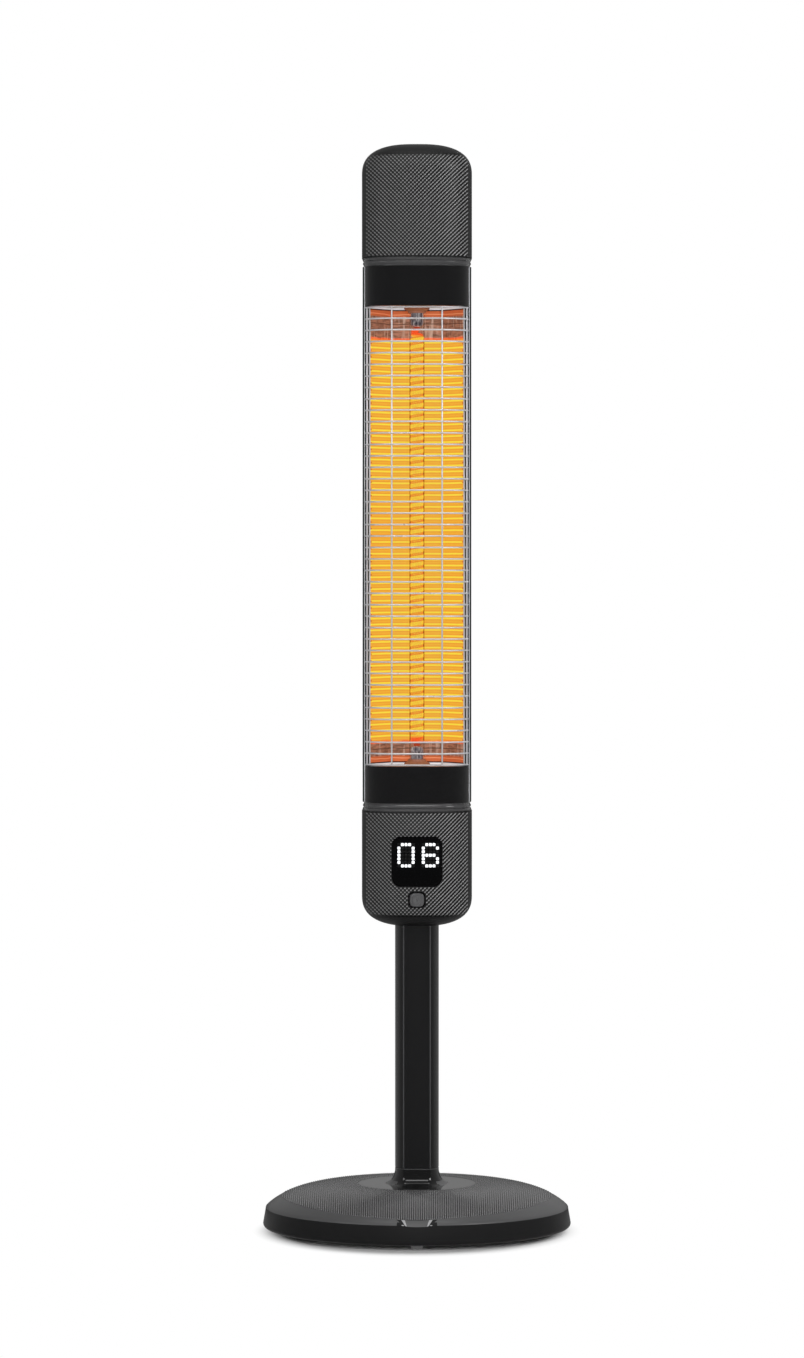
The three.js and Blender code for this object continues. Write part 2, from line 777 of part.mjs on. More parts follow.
function frontPanel(lowZ, highZ) {
  const edgeY = casingEdgeY + fitGap;
  const outline = [
    ...frontArc(bodyInset, edgeY, panelFacets),
    ...frontArc(bodyInset + panelWall, edgeY, panelFacets).reverse(),
  ];
  return upright(outline, lowZ, highZ);
}

function casingScrew(x, z) {
  const innerX = Math.abs(x) - screwHeadRadius;
  const faceY = outlineReach(innerX, headWidth / 2 - bodyInset, rearY - bodyInset) + fitGap;
  const tipY = faceY - screwLength;
  const headY = faceY + screwHeadHeight;
  return turnedAlongY([
    [0, tipY], [screwRadius, tipY], [screwRadius, faceY],
    [screwHeadRadius, faceY], [screwHeadRadius, headY], [0, headY],
  ], screwFacets, x, z);
}

place('rear_casing', rearCasing(), blackMetal);
place('lower_front_panel', frontPanel(casingLowZ, windowZ), glossBlack);
place('upper_front_panel', frontPanel(windowTopZ, casingHighZ), glossBlack);
casingScrewPlaces.forEach(([x, z], i) => {
  place(`casing_screw_${i + 1}`, casingScrew(x, z), steel);
});

// Wire grille: bent cross wires on four upright wires

const grilleSideY = casingEdgeY + fitGap + wireThickness / 2;

// A cross wire's line: flat between the middle ribs, with two bends to each side rib
function grilleLine(inset) {
  const halfX = headWidth / 2 - inset;
  const halfY = headDepth / 2 - inset;
  const bends = [grilleRibX + wireThickness, halfX - grilleBendInset];
  const right = bends.map((x) => [x, outlineReach(x, halfX, halfY)]);
  right.push([outlineReach(grilleSideY, halfY, halfX), grilleSideY]);
  const left = right.map(([x, y]) => [-x, y]).reverse();
  return [...left, ...right].map(([x, y]) => new THREE.Vector2(x, -y));
}

function grille() {
  const outerInset = bodyInset + fitGap / 2;
  const band = [...grilleLine(outerInset), ...grilleLine(outerInset + wireThickness).reverse()];
  const lowZ = windowZ + fitGap;
  const highZ = windowTopZ - fitGap;
  const pitch = (highZ - lowZ - wireThickness) / (grilleWires - 1);
  const crossWires = Array.from({ length: grilleWires }, (_, i) => (
    upright(band, lowZ + pitch * i, lowZ + pitch * i + wireThickness)
  ));
  const ribReach = wireThickness * Math.SQRT1_2;
  const ribY = grilleLine(outerInset + wireThickness)[2].y + ribReach - grilleWeld;
  const ribs = [-grilleRibX, grilleRibX].map((x) => (
    upright(circle(ribReach, 4, x, ribY), lowZ + fitGap, highZ - fitGap)
  ));
  const railOuterX = grilleLine(outerInset)[5].x + fitGap;
  const railFrontY = -grilleSideY - wireThickness / 2;
  const rails = [-railOuterX, railOuterX - grilleRailWidth].map((x) => {
    const outline = rectangle(x, railFrontY, x + grilleRailWidth, railFrontY + wireThickness);
    return upright(outline, lowZ - fitGap / 2, highZ + fitGap / 2);
  });
  return join(...crossWires, ...ribs, ...rails);
}

place('grille', grille(), brightSteel);

// Heating chamber between two end plates

const reflectorBackY = reflectorDepth - reflectorEdgeY;
const holderHoleRadius = tubeRadius + holderWall + 2 * fitGap;
const leadX = -leadSpacing / 2;

function endPlate(faceZ, direction) {
  const holes = [
    circle(holderHoleRadius, roundFacets, 0, tubeY),
    circle(leadRadius * 2, roundFacets, leadX, leadBackY),
  ];
  const backZ = faceZ + direction * endPlateThickness;
  return upright(headOutline(plateInset), Math.min(faceZ, backZ), Math.max(faceZ, backZ), holes);
}

function reflector() {
  const wallInset = bodyInset + casingWall;
  const wallX = outlineReach(reflectorEdgeY, headDepth / 2 - wallInset, headWidth / 2 - wallInset);
  const edge = wallX - reflectorSideGap - reflectorSheet;
  const flat = reflectorFlatWidth / 2;
  const right = [[edge, -reflectorEdgeY], [flat, reflectorBackY]];
  const left = right.map(([x, y]) => [-x, y]).reverse();
  const points = [...right, ...left].map(([x, y]) => new THREE.Vector2(x, y));
  return upright(bentSheet(points, -reflectorSheet), lowerPlateFaceZ + fitGap, upperPlateFaceZ - fitGap);
}

// Ceramic holder of a tube end: a cone in the chamber, and a stem through the end plate
function tubeHolder(faceZ, direction) {
  const bore = tubeRadius + fitGap;
  const stem = bore + holderWall;
  const boreDepth = holderStemLength - holderEndWall;
  const flangeTop = fitGap + holderFlangeThickness;
  const rodHole = terminalRodRadius + fitGap;
  const profile = [
    [bore, -flangeTop - holderTipLength], [stem, -flangeTop - holderTipLength],
    [holderFlangeRadius, -flangeTop], [holderFlangeRadius, -fitGap], [stem, -fitGap],
    [stem, holderStemLength], [rodHole, holderStemLength], [rodHole, boreDepth], [bore, boreDepth],
  ];
  const placed = profile.map(([radius, offset]) => [radius, faceZ + direction * offset]);
  return turned(closedProfile(placed), roundFacets, 0, tubeY);
}

const tubeEndOffset = holderStemLength - holderEndWall - fitGap;
const tubeLowZ = lowerPlateFaceZ - tubeEndOffset;
const tubeHighZ = upperPlateFaceZ + tubeEndOffset;

function quartzTube() {
  const inner = tubeRadius - tubeWall;
  return turned(closedProfile([
    [inner, tubeLowZ], [tubeRadius, tubeLowZ], [tubeRadius, tubeHighZ], [inner, tubeHighZ],
  ]), roundFacets, 0, tubeY);
}

const chamberHeight = upperPlateFaceZ - lowerPlateFaceZ;
const filamentTurns = Math.floor((chamberHeight - 2 * filamentEndMargin) / filamentPitch);
const filamentHeight = filamentTurns * filamentPitch;
const filamentMiddleZ = (lowerPlateFaceZ + upperPlateFaceZ) / 2;
const filamentLowZ = filamentMiddleZ - filamentHeight / 2;
const filamentHighZ = filamentMiddleZ + filamentHeight / 2;
const filamentRadius = tubeRadius - tubeWall - 2 * fitGap - ribbonThickness / 2;
const filamentEndReach = filamentLeadRise + ribbonHeight;

// The filament's middle line at a number of turns: a helix that eases in to the axis at both ends
function filamentPoint(turns) {
  const before = Math.min(Math.max(-turns, 0), filamentLeadTurns);
  const after = Math.min(Math.max(turns - filamentTurns, 0), filamentLeadTurns);
  const leadShare = (before + after) / filamentLeadTurns;
  const radius = (filamentRadius * (1 + Math.cos(Math.PI * leadShare))) / 2;
  const angle = 2 * Math.PI * turns;
  const inner = Math.min(Math.max(turns, 0), filamentTurns);
  const leadZ = (filamentLeadRise * (after - before)) / filamentLeadTurns;
  const z = filamentLowZ + inner * filamentPitch + leadZ;
  return new THREE.Vector3(radius * Math.cos(angle), tubeY + radius * Math.sin(angle), z);
}

// The ribbon's four corners there, raised by an extra height; its ends run straight up
function filamentRing(turns, rise = 0) {
  const probe = 0.01;
  const atEnd = turns <= -filamentLeadTurns || turns >= filamentTurns + filamentLeadTurns;
  const chord = filamentPoint(turns + probe).sub(filamentPoint(turns - probe)).normalize();
  const along = atEnd ? new THREE.Vector3(0, 0, 1) : chord;
  const angle = 2 * Math.PI * turns;
  const outward = new THREE.Vector3(Math.cos(angle), Math.sin(angle), 0);
  outward.addScaledVector(along, -outward.dot(along)).normalize();
  const across = along.clone().cross(outward);
  const centre = filamentPoint(turns);
  centre.z += rise;
  return [[1, 1], [-1, 1], [-1, -1], [1, -1]].map(([side, edge]) => (
    centre.clone()
      .addScaledVector(outward, (side * ribbonThickness) / 2)
      .addScaledVector(across, (edge * ribbonHeight) / 2)
  ));
}

function carbonFilament() {
  const stepsPerTurn = 8;
  const firstStep = -filamentLeadTurns * stepsPerTurn;
  const lastStep = (filamentTurns + filamentLeadTurns) * stepsPerTurn;
  const rings = [filamentRing(-filamentLeadTurns, -ribbonHeight)];
  for (let step = firstStep; step <= lastStep; step += 1) rings.push(filamentRing(step / stepsPerTurn));
  rings.push(filamentRing(filamentTurns + filamentLeadTurns, ribbonHeight));
  let leastGap = Infinity;
  rings.forEach((ring, i) => {
    rings.slice(i + stepsPerTurn / 2, i + 2 * stepsPerTurn).forEach((other) => {
      for (const a of ring) for (const b of other) leastGap = Math.min(leastGap, a.distanceTo(b));
    });
  });
  console.log(`carbon filament: ${filamentTurns} turns, least gap to itself ${leastGap.toFixed(2)} mm`);
  return loft(rings);
}

// Metal rod with a plug that closes the tube's end
function tubeTerminal(faceZ, filamentEndZ, direction) {
  const innerZ = filamentEndZ + direction * (filamentEndReach + fitGap);
  const plugOuterZ = faceZ + direction * tubeEndOffset;
  const plugInnerZ = plugOuterZ - direction * terminalPlugLength;
  const outerZ = faceZ + direction * (holderStemLength + terminalStubLength);
  const plugRadius = tubeRadius - tubeWall - fitGap;
  return turned([
    [0, innerZ], [terminalRodRadius, innerZ], [terminalRodRadius, plugInnerZ], [plugRadius, plugInnerZ],
    [plugRadius, plugOuterZ], [terminalRodRadius, plugOuterZ], [terminalRodRadius, outerZ], [0, outerZ],
  ], roundFacets, 0, tubeY);
}

// Insulated lead from a terminal rod back to the terminal block
const terminalReach = holderStemLength + terminalStubLength + fitGap;
const terminalBlockTopZ = headZ + controlBoardTop - controlPostInset;
const terminalBlockY = controlBoardY - fitGap - terminalBlockDepth / 2;

function leadWire(points) {
  const places = points.map(([x, y, z]) => new THREE.Vector3(x, y, z));
  const curve = new THREE.CatmullRomCurve3(places, false, 'centripetal');
  const steps = Math.ceil(curve.getLength() / (6 * leadRadius));
  const section = new THREE.Shape(circle(leadRadius, 6));
  return faceOutward(new THREE.ExtrudeGeometry(section, { extrudePath: curve, steps, bevelEnabled: false }));
}

function upperLead() {
  const startZ = upperPlateFaceZ + terminalReach;
  const bendZ = startZ + 5 * leadRadius;
  const blockZ = terminalBlockTopZ + fitGap;
  return leadWire([
    [0, tubeY, startZ], [0, tubeY, startZ + 2 * leadRadius],
    [leadX / 2, (tubeY + leadBackY) / 2, bendZ + 2 * leadRadius],
    [leadX, leadBackY, startZ - 4 * leadRadius], [leadX, leadBackY, startZ - 8 * leadRadius],
    [leadX, leadBackY, filamentMiddleZ],
    [leadX, leadBackY, blockZ + 10 * leadRadius], [leadX, terminalBlockY, blockZ + 2 * leadRadius],
    [leadX, terminalBlockY, blockZ],
  ]);
}

function lowerLead() {
  const startZ = lowerPlateFaceZ - terminalReach;
  const blockZ = terminalBlockTopZ + fitGap;
  return leadWire([
    [0, tubeY, startZ], [0, tubeY, startZ - 2 * leadRadius],
    [-leadX / 2, (tubeY + terminalBlockY) / 2, (startZ + blockZ) / 2],
    [-leadX, terminalBlockY, blockZ + 2 * leadRadius], [-leadX, terminalBlockY, blockZ],
  ]);
}

place('lower_end_plate', endPlate(lowerPlateFaceZ, -1), brightSteel);
place('upper_end_plate', endPlate(upperPlateFaceZ, 1), brightSteel);
place('reflector', reflector(), copperSheet);
place('lower_tube_holder', tubeHolder(lowerPlateFaceZ, -1), ceramic);
place('upper_tube_holder', tubeHolder(upperPlateFaceZ, 1), ceramic);
place('quartz_tube', quartzTube(), quartz);
place('carbon_filament', carbonFilament(), glowingCarbon);
place('lower_tube_terminal', tubeTerminal(lowerPlateFaceZ, filamentLowZ, -1), brightSteel);
place('upper_tube_terminal', tubeTerminal(upperPlateFaceZ, filamentHighZ, 1), brightSteel);
place('upper_lead_wire', upperLead(), wireRed);
place('lower_lead_wire', lowerLead(), wireRed);
const cutoutY = reflectorBackY + reflectorSheet + fitGap;
place('thermal_cutout', rodAlongY(
  cutoutRadius, cutoutY, cutoutY + cutoutThickness, roundFacets, cutoutRadius, upperPlateFaceZ - cutoutDrop,
), partBlack);

// Display, button and their board

const displayBoardZ = headZ + displayBoardBottom;

function displayLens() {
  const ring = upright(
    headOutline(fitGap / 2), lensZ - lensSide, lensZ + lensSide, [headOutline(fitGap / 2 + lensThickness)],
  );
  const side = lensSide - 2 * fitGap;
  const outline = roundedRectangle(side, side, lensCorner - fitGap, lensZ);
  return common(ring, fromFront(outline, frontY - overrun, frontY + 4 * lensThickness));
}

function box(centreX, width, nearY, farY, lowZ, highZ) {
  return fromFront(rectangle(centreX - width / 2, lowZ, centreX + width / 2, highZ), nearY, farY);
}

const aroundButton = (width, height, grow) => (
  roundedSquare(width / 2 + grow, height / 2 + grow, buttonSquareness, buttonFacets, 0, buttonZ)
);
const buttonOutline = (grow) => aroundButton(buttonWidth, buttonHeight, grow);

// The cap's inner wall has begun to round in at the bezel's lowest edge
const bezelLowZ = buttonZ - buttonHoleHeight / 2 - bezelFlange;
const bezelDrop = Math.max(headZ + crownHeight - bezelLowZ, 0) / (crownHeight - capWall);
const bezelWallShare = (1 - bezelDrop ** crownSquareness) ** (1 / crownSquareness);
const bezelBackY = (frontY + capWall) * bezelWallShare + 2 * fitGap + bezelFlangeThickness;

function buttonBezel() {
  const holeOutline = (grow) => aroundButton(buttonHoleWidth, buttonHoleHeight, grow);
  const ring = fromFront(holeOutline(-fitGap), frontY + bezelRecess, bezelBackY);
  const flange = fromFront(holeOutline(bezelFlange), bezelBackY - bezelFlangeThickness, bezelBackY);
  return cut(join(ring, flange), fromFront(buttonOutline(fitGap), frontY - overrun, bezelBackY + overrun));
}

const buttonBackY = bezelBackY + fitGap + buttonFlangeThickness;
const switchFrontY = buttonBackY + buttonTravel + 2 * fitGap;

function buttonCap() {
  const face = fromFront(buttonOutline(0), frontY - buttonProud, buttonBackY);
  return join(face, fromFront(buttonOutline(buttonFlange), buttonBackY - buttonFlangeThickness, buttonBackY));
}

function switchBody() {
  const half = switchSide / 2;
  const outline = rectangle(-half, buttonZ - half, half, buttonZ + half);
  const bottomY = switchFrontY + plungerReach + buttonTravel + fitGap;
  return cut(
    fromFront(outline, switchFrontY, boardFrontY - fitGap),
    rodAlongY(plungerRadius + fitGap, switchFrontY - overrun, bottomY, screwFacets, 0, buttonZ),
  );
}

// Flat cable in a loose bow between the two boards
function displayRibbon() {
  const startY = boardFrontY + boardThickness + fitGap;
  const endY = controlBoardY - fitGap;
  const middleY = (startY + endY) / 2;
  const highZ = headZ + displayBoardTop - 2 * ribbonCableThickness;
  const lowZ = highZ - ribbonCableSlack;
  const curve = new THREE.CubicBezierCurve(
    new THREE.Vector2(startY, highZ), new THREE.Vector2(middleY, highZ),
    new THREE.Vector2(middleY, lowZ), new THREE.Vector2(endY, lowZ),
  );
  return fromSide(bentSheet(curve.getPoints(8), ribbonCableThickness), ribbonCableX, ribbonCableWidth);
}

place('display_lens', displayLens(), glossBlack);
place('display_module', box(
  0, displayModuleWidth, boardFrontY - fitGap - displayModuleRise, boardFrontY - fitGap,
  lensZ - displayModuleHeight / 2, lensZ + displayModuleHeight / 2,
), partBlack);
place('display_board', box(
  0, displayBoardWidth, boardFrontY, boardFrontY + boardThickness, displayBoardZ, headZ + displayBoardTop,
), circuitGreen);
place('button_bezel', buttonBezel(), glossBlack);
place('button_cap', buttonCap(), buttonGrey);
place('switch_plunger', rodAlongY(
  plungerRadius, buttonBackY + fitGap, switchFrontY + plungerReach, screwFacets, 0, buttonZ,
), partWhite);
place('switch_body', switchBody(), partBlack);
place('display_ribbon', displayRibbon(), partWhite);

// Power electronics

const componentZ = headZ + componentHeight;
const componentX = controlBoardHalf - componentInset;

function tiltSwitch() {
  const y = controlBoardY - fitGap - tiltSwitchRadius;
  const lowZ = componentZ - tiltSwitchLength / 2;
  return rod(tiltSwitchRadius, lowZ, lowZ + tiltSwitchLength, roundFacets, componentX, y);
}

place('control_board', box(
  0, 2 * controlBoardHalf, controlBoardY, controlBoardBackY,
  headZ + controlBoardBottom, headZ + controlBoardTop,
), circuitGreen);
place('power_relay', box(
  -componentX, relayWidth, controlBoardY - fitGap - relayDepth, controlBoardY - fitGap,
  componentZ - relayHeight / 2, componentZ + relayHeight / 2,
), partBlack);
place('terminal_block', box(
  0, terminalBlockWidth, controlBoardY - fitGap - terminalBlockDepth, controlBoardY - fitGap,
  terminalBlockTopZ - terminalBlockHeight, terminalBlockTopZ,
), partWhite);
place('tilt_switch', tiltSwitch(), brightSteel);

// Cable gland through the rear wall, with its nut inside

function cableGland() {
  const insideY = rearY - capWall - glandInsideLength;
  const faceY = rearY + fitGap;
  const flangeY = faceY + glandFlangeThickness;
  const noseY = flangeY + glandNoseLength;
  return turnedAlongY(closedProfile([
    [glandBoreRadius, insideY], [glandBodyRadius, insideY],
    [glandBodyRadius, faceY], [glandFlangeRadius, faceY],
    [glandFlangeRadius, flangeY], [glandNoseRadius, flangeY],
    [glandNoseRadius, noseY], [glandBoreRadius, noseY],
  ]), roundFacets, 0, glandZ);
}

function glandNut() {
  const backY = rearY - capWall - 2 * fitGap;
  const inner = glandBodyRadius + fitGap;
  return turnedAlongY(closedProfile([
    [inner, backY - glandNutThickness], [glandFlangeRadius, backY - glandNutThickness],
    [glandFlangeRadius, backY], [inner, backY],
  ]), roundFacets, 0, glandZ);
}

place('cable_gland', cableGland(), partBlack);
place('gland_nut', glandNut(), partBlack);

export default heater;
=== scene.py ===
import math

import bmesh
import bpy
from bpy.props import FloatProperty, FloatVectorProperty, IntProperty, PointerProperty
from mathutils import Matrix, Vector


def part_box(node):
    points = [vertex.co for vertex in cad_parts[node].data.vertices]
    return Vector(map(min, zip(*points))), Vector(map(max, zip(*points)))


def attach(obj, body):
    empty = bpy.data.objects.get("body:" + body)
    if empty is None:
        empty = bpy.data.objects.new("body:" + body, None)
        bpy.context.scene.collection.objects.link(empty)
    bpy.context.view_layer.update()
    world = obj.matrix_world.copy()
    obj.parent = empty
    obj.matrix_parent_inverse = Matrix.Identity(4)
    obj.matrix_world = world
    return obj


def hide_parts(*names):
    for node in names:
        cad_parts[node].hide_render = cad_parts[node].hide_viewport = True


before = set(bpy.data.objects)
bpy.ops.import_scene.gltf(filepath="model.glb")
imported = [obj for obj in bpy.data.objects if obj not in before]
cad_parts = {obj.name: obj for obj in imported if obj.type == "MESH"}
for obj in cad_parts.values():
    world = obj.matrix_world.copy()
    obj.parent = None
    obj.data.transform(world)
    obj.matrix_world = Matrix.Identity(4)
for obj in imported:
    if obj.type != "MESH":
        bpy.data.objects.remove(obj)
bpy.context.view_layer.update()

bl_info = {
    "name": "Carbon heater on a stand",
    "version": (1, 0, 0),
    "blender": (4, 5, 0),
    "location": "3D View > Sidebar > Heater",
    "description": "Dresses a carbon tube heater: knurled caps, wire grille, glowing tube, ribbed stand",
    "category": "Object",
}

# Places taken from the solids
TOP_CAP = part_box("top_cap")
BOTTOM_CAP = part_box("bottom_cap")
UPPER_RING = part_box("upper_trim_ring")
LOWER_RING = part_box("lower_trim_ring")
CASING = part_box("rear_casing")
UPPER_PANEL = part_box("upper_front_panel")
LOWER_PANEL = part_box("lower_front_panel")
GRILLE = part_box("grille")
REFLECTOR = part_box("reflector")
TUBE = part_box("quartz_tube")
LOWER_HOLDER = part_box("lower_tube_holder")
UPPER_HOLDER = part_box("upper_tube_holder")
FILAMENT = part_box("carbon_filament")
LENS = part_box("display_lens")
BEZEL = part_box("button_bezel")
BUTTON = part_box("button_cap")
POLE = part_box("pole")
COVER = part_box("base_cover")
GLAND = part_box("cable_gland")

MERGE_DISTANCE = 0.000001
OVERRUN = 0.002
FIT_GAP = 0.0003
OUTLINE_STEPS = 144
CROWN_STEPS = 26
BEND_REACH = 0.003
FULL_TURN = 2 * math.pi
FORWARD = Vector((0, -1, 0))


def size(name, default, description, **rest):
    return FloatProperty(
        name=name, default=default, description=description, unit="LENGTH", subtype="DISTANCE",
        precision=5, min=0, **rest,
    )


def exponent(name, default, description):
    return FloatProperty(name=name, default=default, description=description, min=2)


def number(name, default, least, description):
    return IntProperty(name=name, default=default, description=description, min=least)


def colour(name, default, description):
    return FloatVectorProperty(
        name=name, default=default, description=description, subtype="COLOR", size=3, min=0, max=1,
    )


class HeadSizes(bpy.types.PropertyGroup):
    squareness: exponent("Squareness", 3, "Power of the head's outline")
    crown_squareness: exponent("Crown squareness", 2.6, "Power of the crown")
    crown_height: size("Crown height", 0.030, "Height of the rounding at a cap's end")
    cap_wall: size("Cap wall", 0.0022, "Thickness of the caps")
    body_inset: size("Body inset", 0.0006, "How far the casing stands back from the caps")
    panel_wall: size("Panel wall", 0.002, "Thickness of the casing and its panels")
    seam_depth: size("Seam place", 0.024, "Distance in front of the axis at which casing and panels meet")
    bead: size("Bead", 0.0006, "Width of the bright bead along the casing's front edges")
    groove_depth: size("Groove depth", 0.0015, "Depth of the trim rings' grooves")
    knurl_pitch: size("Knurl pitch", 0.0019, "Distance between rows of raised dots")
    knurl_height: size("Knurl height", 0.00042, "Height of the raised dots")
    knurl_lean: FloatProperty(
        name="Knurl lean", default=0.26, min=0, max=0.5,
        description="How much stronger one diagonal of the knurl is at the sides",
    )
    knurl_lean_reach: size("Knurl lean reach", 0.028, "Distance from the middle at which the lean is full")
    knurl_half_width: size("Knurl half width", 0.0494, "Half of the width of the knurled face")
    knurl_crown_share: FloatProperty(
        name="Knurl on the crown", default=0.6, min=0, max=1,
        description="Share of the crown's height that the knurl climbs",
    )


class DisplaySizes(bpy.types.PropertyGroup):
    corner: size("Lens corner", 0.0083, "Corner radius of the display lens")
    dot_pitch: size("Dot pitch", 0.00338, "Distance between display dots")
    dot_side: size("Dot side", 0.0028, "Width of a display dot")
    left_digit: FloatProperty(
        name="Left digit", default=-0.0104, unit="LENGTH", description="Place of the left digit's middle",
    )
    right_digit: size("Right digit", 0.0128, "Place of the right digit's middle")
    top_row: size("Top row", 0.0162, "Height of the top row above the lens's middle")
    button_squareness: exponent("Button squareness", 3.2, "Power of the button's outline")


class ChamberSizes(bpy.types.PropertyGroup):
    wire: size("Wire", 0.0016, "Diameter of the grille's cross wires")
    wire_count: number("Cross wires", 41, 3, "Number of cross wires")
    rib_place: size("Rib place", 0.024, "Distance of the two ribs from the middle")
    rail_inset: size("Rail inset", 0.0009, "How far the side rails stand inside the wires' ends")
    bend_inset: size("Bend inset", 0.0098, "How far inside the outline the wires bend back")
    stripe_pitch: size("Stripe pitch", 0.00565, "Distance between bright stripes in the reflector")
    reflector_flat: size("Reflector flat", 0.048, "Width of the reflector's flat back")
    reflector_sheet: size("Reflector sheet", 0.0008, "Thickness of the reflector")
    glow_low: size("Glow's lower end", 0.4695, "Height at which the reflector's glow starts")
    glow_high: size("Glow's upper end", 0.8565, "Height at which the reflector's glow ends")
    tube_wall: size("Tube wall", 0.0008, "Wall of the quartz tube")
    filament_pitch: size("Filament pitch", 0.00633, "Rise of the filament in one turn")
    filament_turns: number("Filament turns", 60, 1, "Full turns of the filament")
    filament_radius: size("Filament radius", 0.0060, "Radius of the ribbon's middle line")
    ribbon_height: size("Ribbon height", 0.0058, "Height of the filament's ribbon")
    ribbon_thickness: size("Ribbon thickness", 0.0009, "Thickness of the filament's ribbon")
    lead_rise: size("Lead rise", 0.009, "Rise of the filament's ends towards the axis")
    lead_turns: FloatProperty(
        name="Lead turns", default=0.75, min=0, description="Turns in which the ends close in",
    )


class StandSizes(bpy.types.PropertyGroup):
    wall_height: size("Wall height", 0.0196, "Height of the stand's outer wall")
    wall_taper: size("Wall taper", 0.0026, "How far the wall leans in")
    edge_radius: size("Edge radius", 0.004, "Rounding under the wall")
    rim_radius: size("Rim radius", 0.0007, "Rounding of the wall's upper edge")
    dome_rise: size("Dome rise", 0.0219, "Height of the dome above the wall")
    shoulder: size("Shoulder", 0.0165, "Reach of the dome's shoulder")
    shoulder_rise: size("Shoulder rise", 0.0150, "Height of the dome's shoulder")
    swell: size("Swell", 0.0429, "Reach of the dome's upper swell")
    crest: size("Crest", 0.0009, "Lift of the upper swell above the flange")
    flange_radius: size("Flange radius", 0.0564, "Half width of the smooth disc round the neck")
    flange_depth: size("Flange depth", 0.0615, "Half depth of the smooth disc round the neck")
    side_border: size("Side border", 0.0153, "Width of the smooth ring at the rim, left and right")
    front_border: size("Front border", 0.0055, "Width of the smooth ring at the rim, front and back")
    rib_pitch: size("Rib pitch", 0.00205, "Distance between the dome's ribs")
    rib_height: size("Rib height", 0.0006, "Height of the dome's ribs")
    neck_flare: size("Neck flare", 0.010, "How far the neck flares out at its foot")
    notch_depth: size("Notch depth", 0.0014, "Depth of the front notch at the wall")
    notch_end_depth: size("Notch end depth", 0.0008, "Depth of the front notch at its inner end")
    notch_length: size("Notch length", 0.0055, "Length of the front notch")
    neck_lip: size("Neck lip", 0.0007, "Chamfer round the neck's top")
    pole_flat: size("Pole flat", 0.0252, "Width of the pole's flat front")
    pole_wall: size("Pole wall", 0.0016, "Wall of the pole")


class HeaterColours(bpy.types.PropertyGroup):
    body: colour("Body", (0.0125, 0.0125, 0.0128), "Satin black plastic")
    dome: colour("Dome", (0.057, 0.057, 0.058), "Smooth ring round the stand's ribs")
    # Painted highlight on the knurl's dots and painted shade in its valleys
    knurl_top_highlight: colour("Knurl tops", (0.30, 0.30, 0.303), "Tops of the knurled dots")
    knurl_valley_shade: colour("Knurl valleys", (0.002, 0.002, 0.002), "Valleys between the dots")
    gloss: colour("Gloss", (0.0045, 0.0045, 0.0048), "Glossy black of the panels")
    pole: colour("Pole", (0.0065, 0.0065, 0.0068), "Black paint of the pole")
    wire: colour("Wire", (0.62, 0.62, 0.65), "Plated wire")
    sheet: colour("Sheet metal", (0.52, 0.53, 0.55), "Bare sheet metal")
    # The reflector's ends take these tones partly as their own and partly as a painted reflection of the
    # glow, which they also emit
    copper: colour("Copper brown", (0.27, 0.125, 0.080), "Unlit ends of the reflector")
    copper_warm: colour("Warm copper", (0.60, 0.135, 0.045), "Reflector beside the end plates")
    glow_bright: colour("Bright stripe", (0.94, 0.75, 0.058), "Bright stripes of the glow")
    glow_middle: colour("Middle stripe", (0.87, 0.42, 0.036), "Middle tone of the glow")
    glow_deep: colour("Deep stripe", (0.83, 0.275, 0.027), "Deep tone of the glow")
    glow_edge: colour("Glow edge", (0.80, 0.075, 0.012), "Red rim where the glow ends")
    ceramic: colour("Holder", (0.30, 0.115, 0.065), "Heat-stained ceramic holders")
    button: colour("Button", (0.062, 0.062, 0.064), "Grey push button")
    lit_dot: colour("Lit dot", (0.95, 0.97, 1.0), "Lit dots of the display")
    dark_dot: colour("Unlit dot", (0.012, 0.012, 0.013), "Unlit dots of the display")
    # The feet's pale grey is partly painted light, which keeps them pale in the shade under the stand
    rubber: colour("Rubber", (0.60, 0.60, 0.60), "Feet")
    board: colour("Circuit board", (0.013, 0.10, 0.04), "Circuit boards")
    red_lead: colour("Lead", (0.27, 0.015, 0.009), "Insulation of the leads")
    white_part: colour("White parts", (0.62, 0.62, 0.58), "Terminal block and flat cable")


def middle_of(box):
    return [(low + high) / 2 for low, high in zip(box[0], box[1])]


def half_of(box):
    return [(high - low) / 2 for low, high in zip(box[0], box[1])]


def head_half(inset):
    """Half width and half depth of the head's outline, an inset inside the caps."""
    return TOP_CAP[1][0] - inset, TOP_CAP[1][1] - inset


LENS_MIDDLE = middle_of(LENS)[2]
BUTTON_MIDDLE = middle_of(BUTTON)[2]
GLAND_MIDDLE = (0, 0, middle_of(GLAND)[2])
TUBE_AXIS = (0, middle_of(TUBE)[1], 0)


# Outlines

def outline_point(angle, half_width, half_depth, squareness):
    """The point of a rounded square seen from its middle at an angle."""
    across = abs(math.cos(angle) / half_width) ** squareness
    along = abs(math.sin(angle) / half_depth) ** squareness
    reach = (across + along) ** (-1 / squareness)
    return reach * math.cos(angle), reach * math.sin(angle)


def rounded_outline(half_width, half_depth, squareness, steps=OUTLINE_STEPS):
    return [
        outline_point(FULL_TURN * step / steps, half_width, half_depth, squareness)
        for step in range(steps)
    ]


def outline_reach(along, half_along, half, squareness):
    """How far a rounded square reaches one way at a distance along the other."""
    return half * max(1 - (abs(along) / half_along) ** squareness, 0) ** (1 / squareness)


def outline_arc(half_width, half_depth, squareness, edge_depth, rear):
    """The part of a head outline that lies behind or in front of the seam's depth."""
    steps = 96
    edge_x = outline_reach(edge_depth, half_depth, half_width, squareness)
    edge_angle = math.atan2(edge_depth, edge_x)
    start = -edge_angle if rear else math.pi + edge_angle
    sweep = math.pi + 2 * edge_angle if rear else math.pi - 2 * edge_angle
    return [
        outline_point(start + sweep * step / steps, half_width, half_depth, squareness)
        for step in range(steps + 1)
    ]


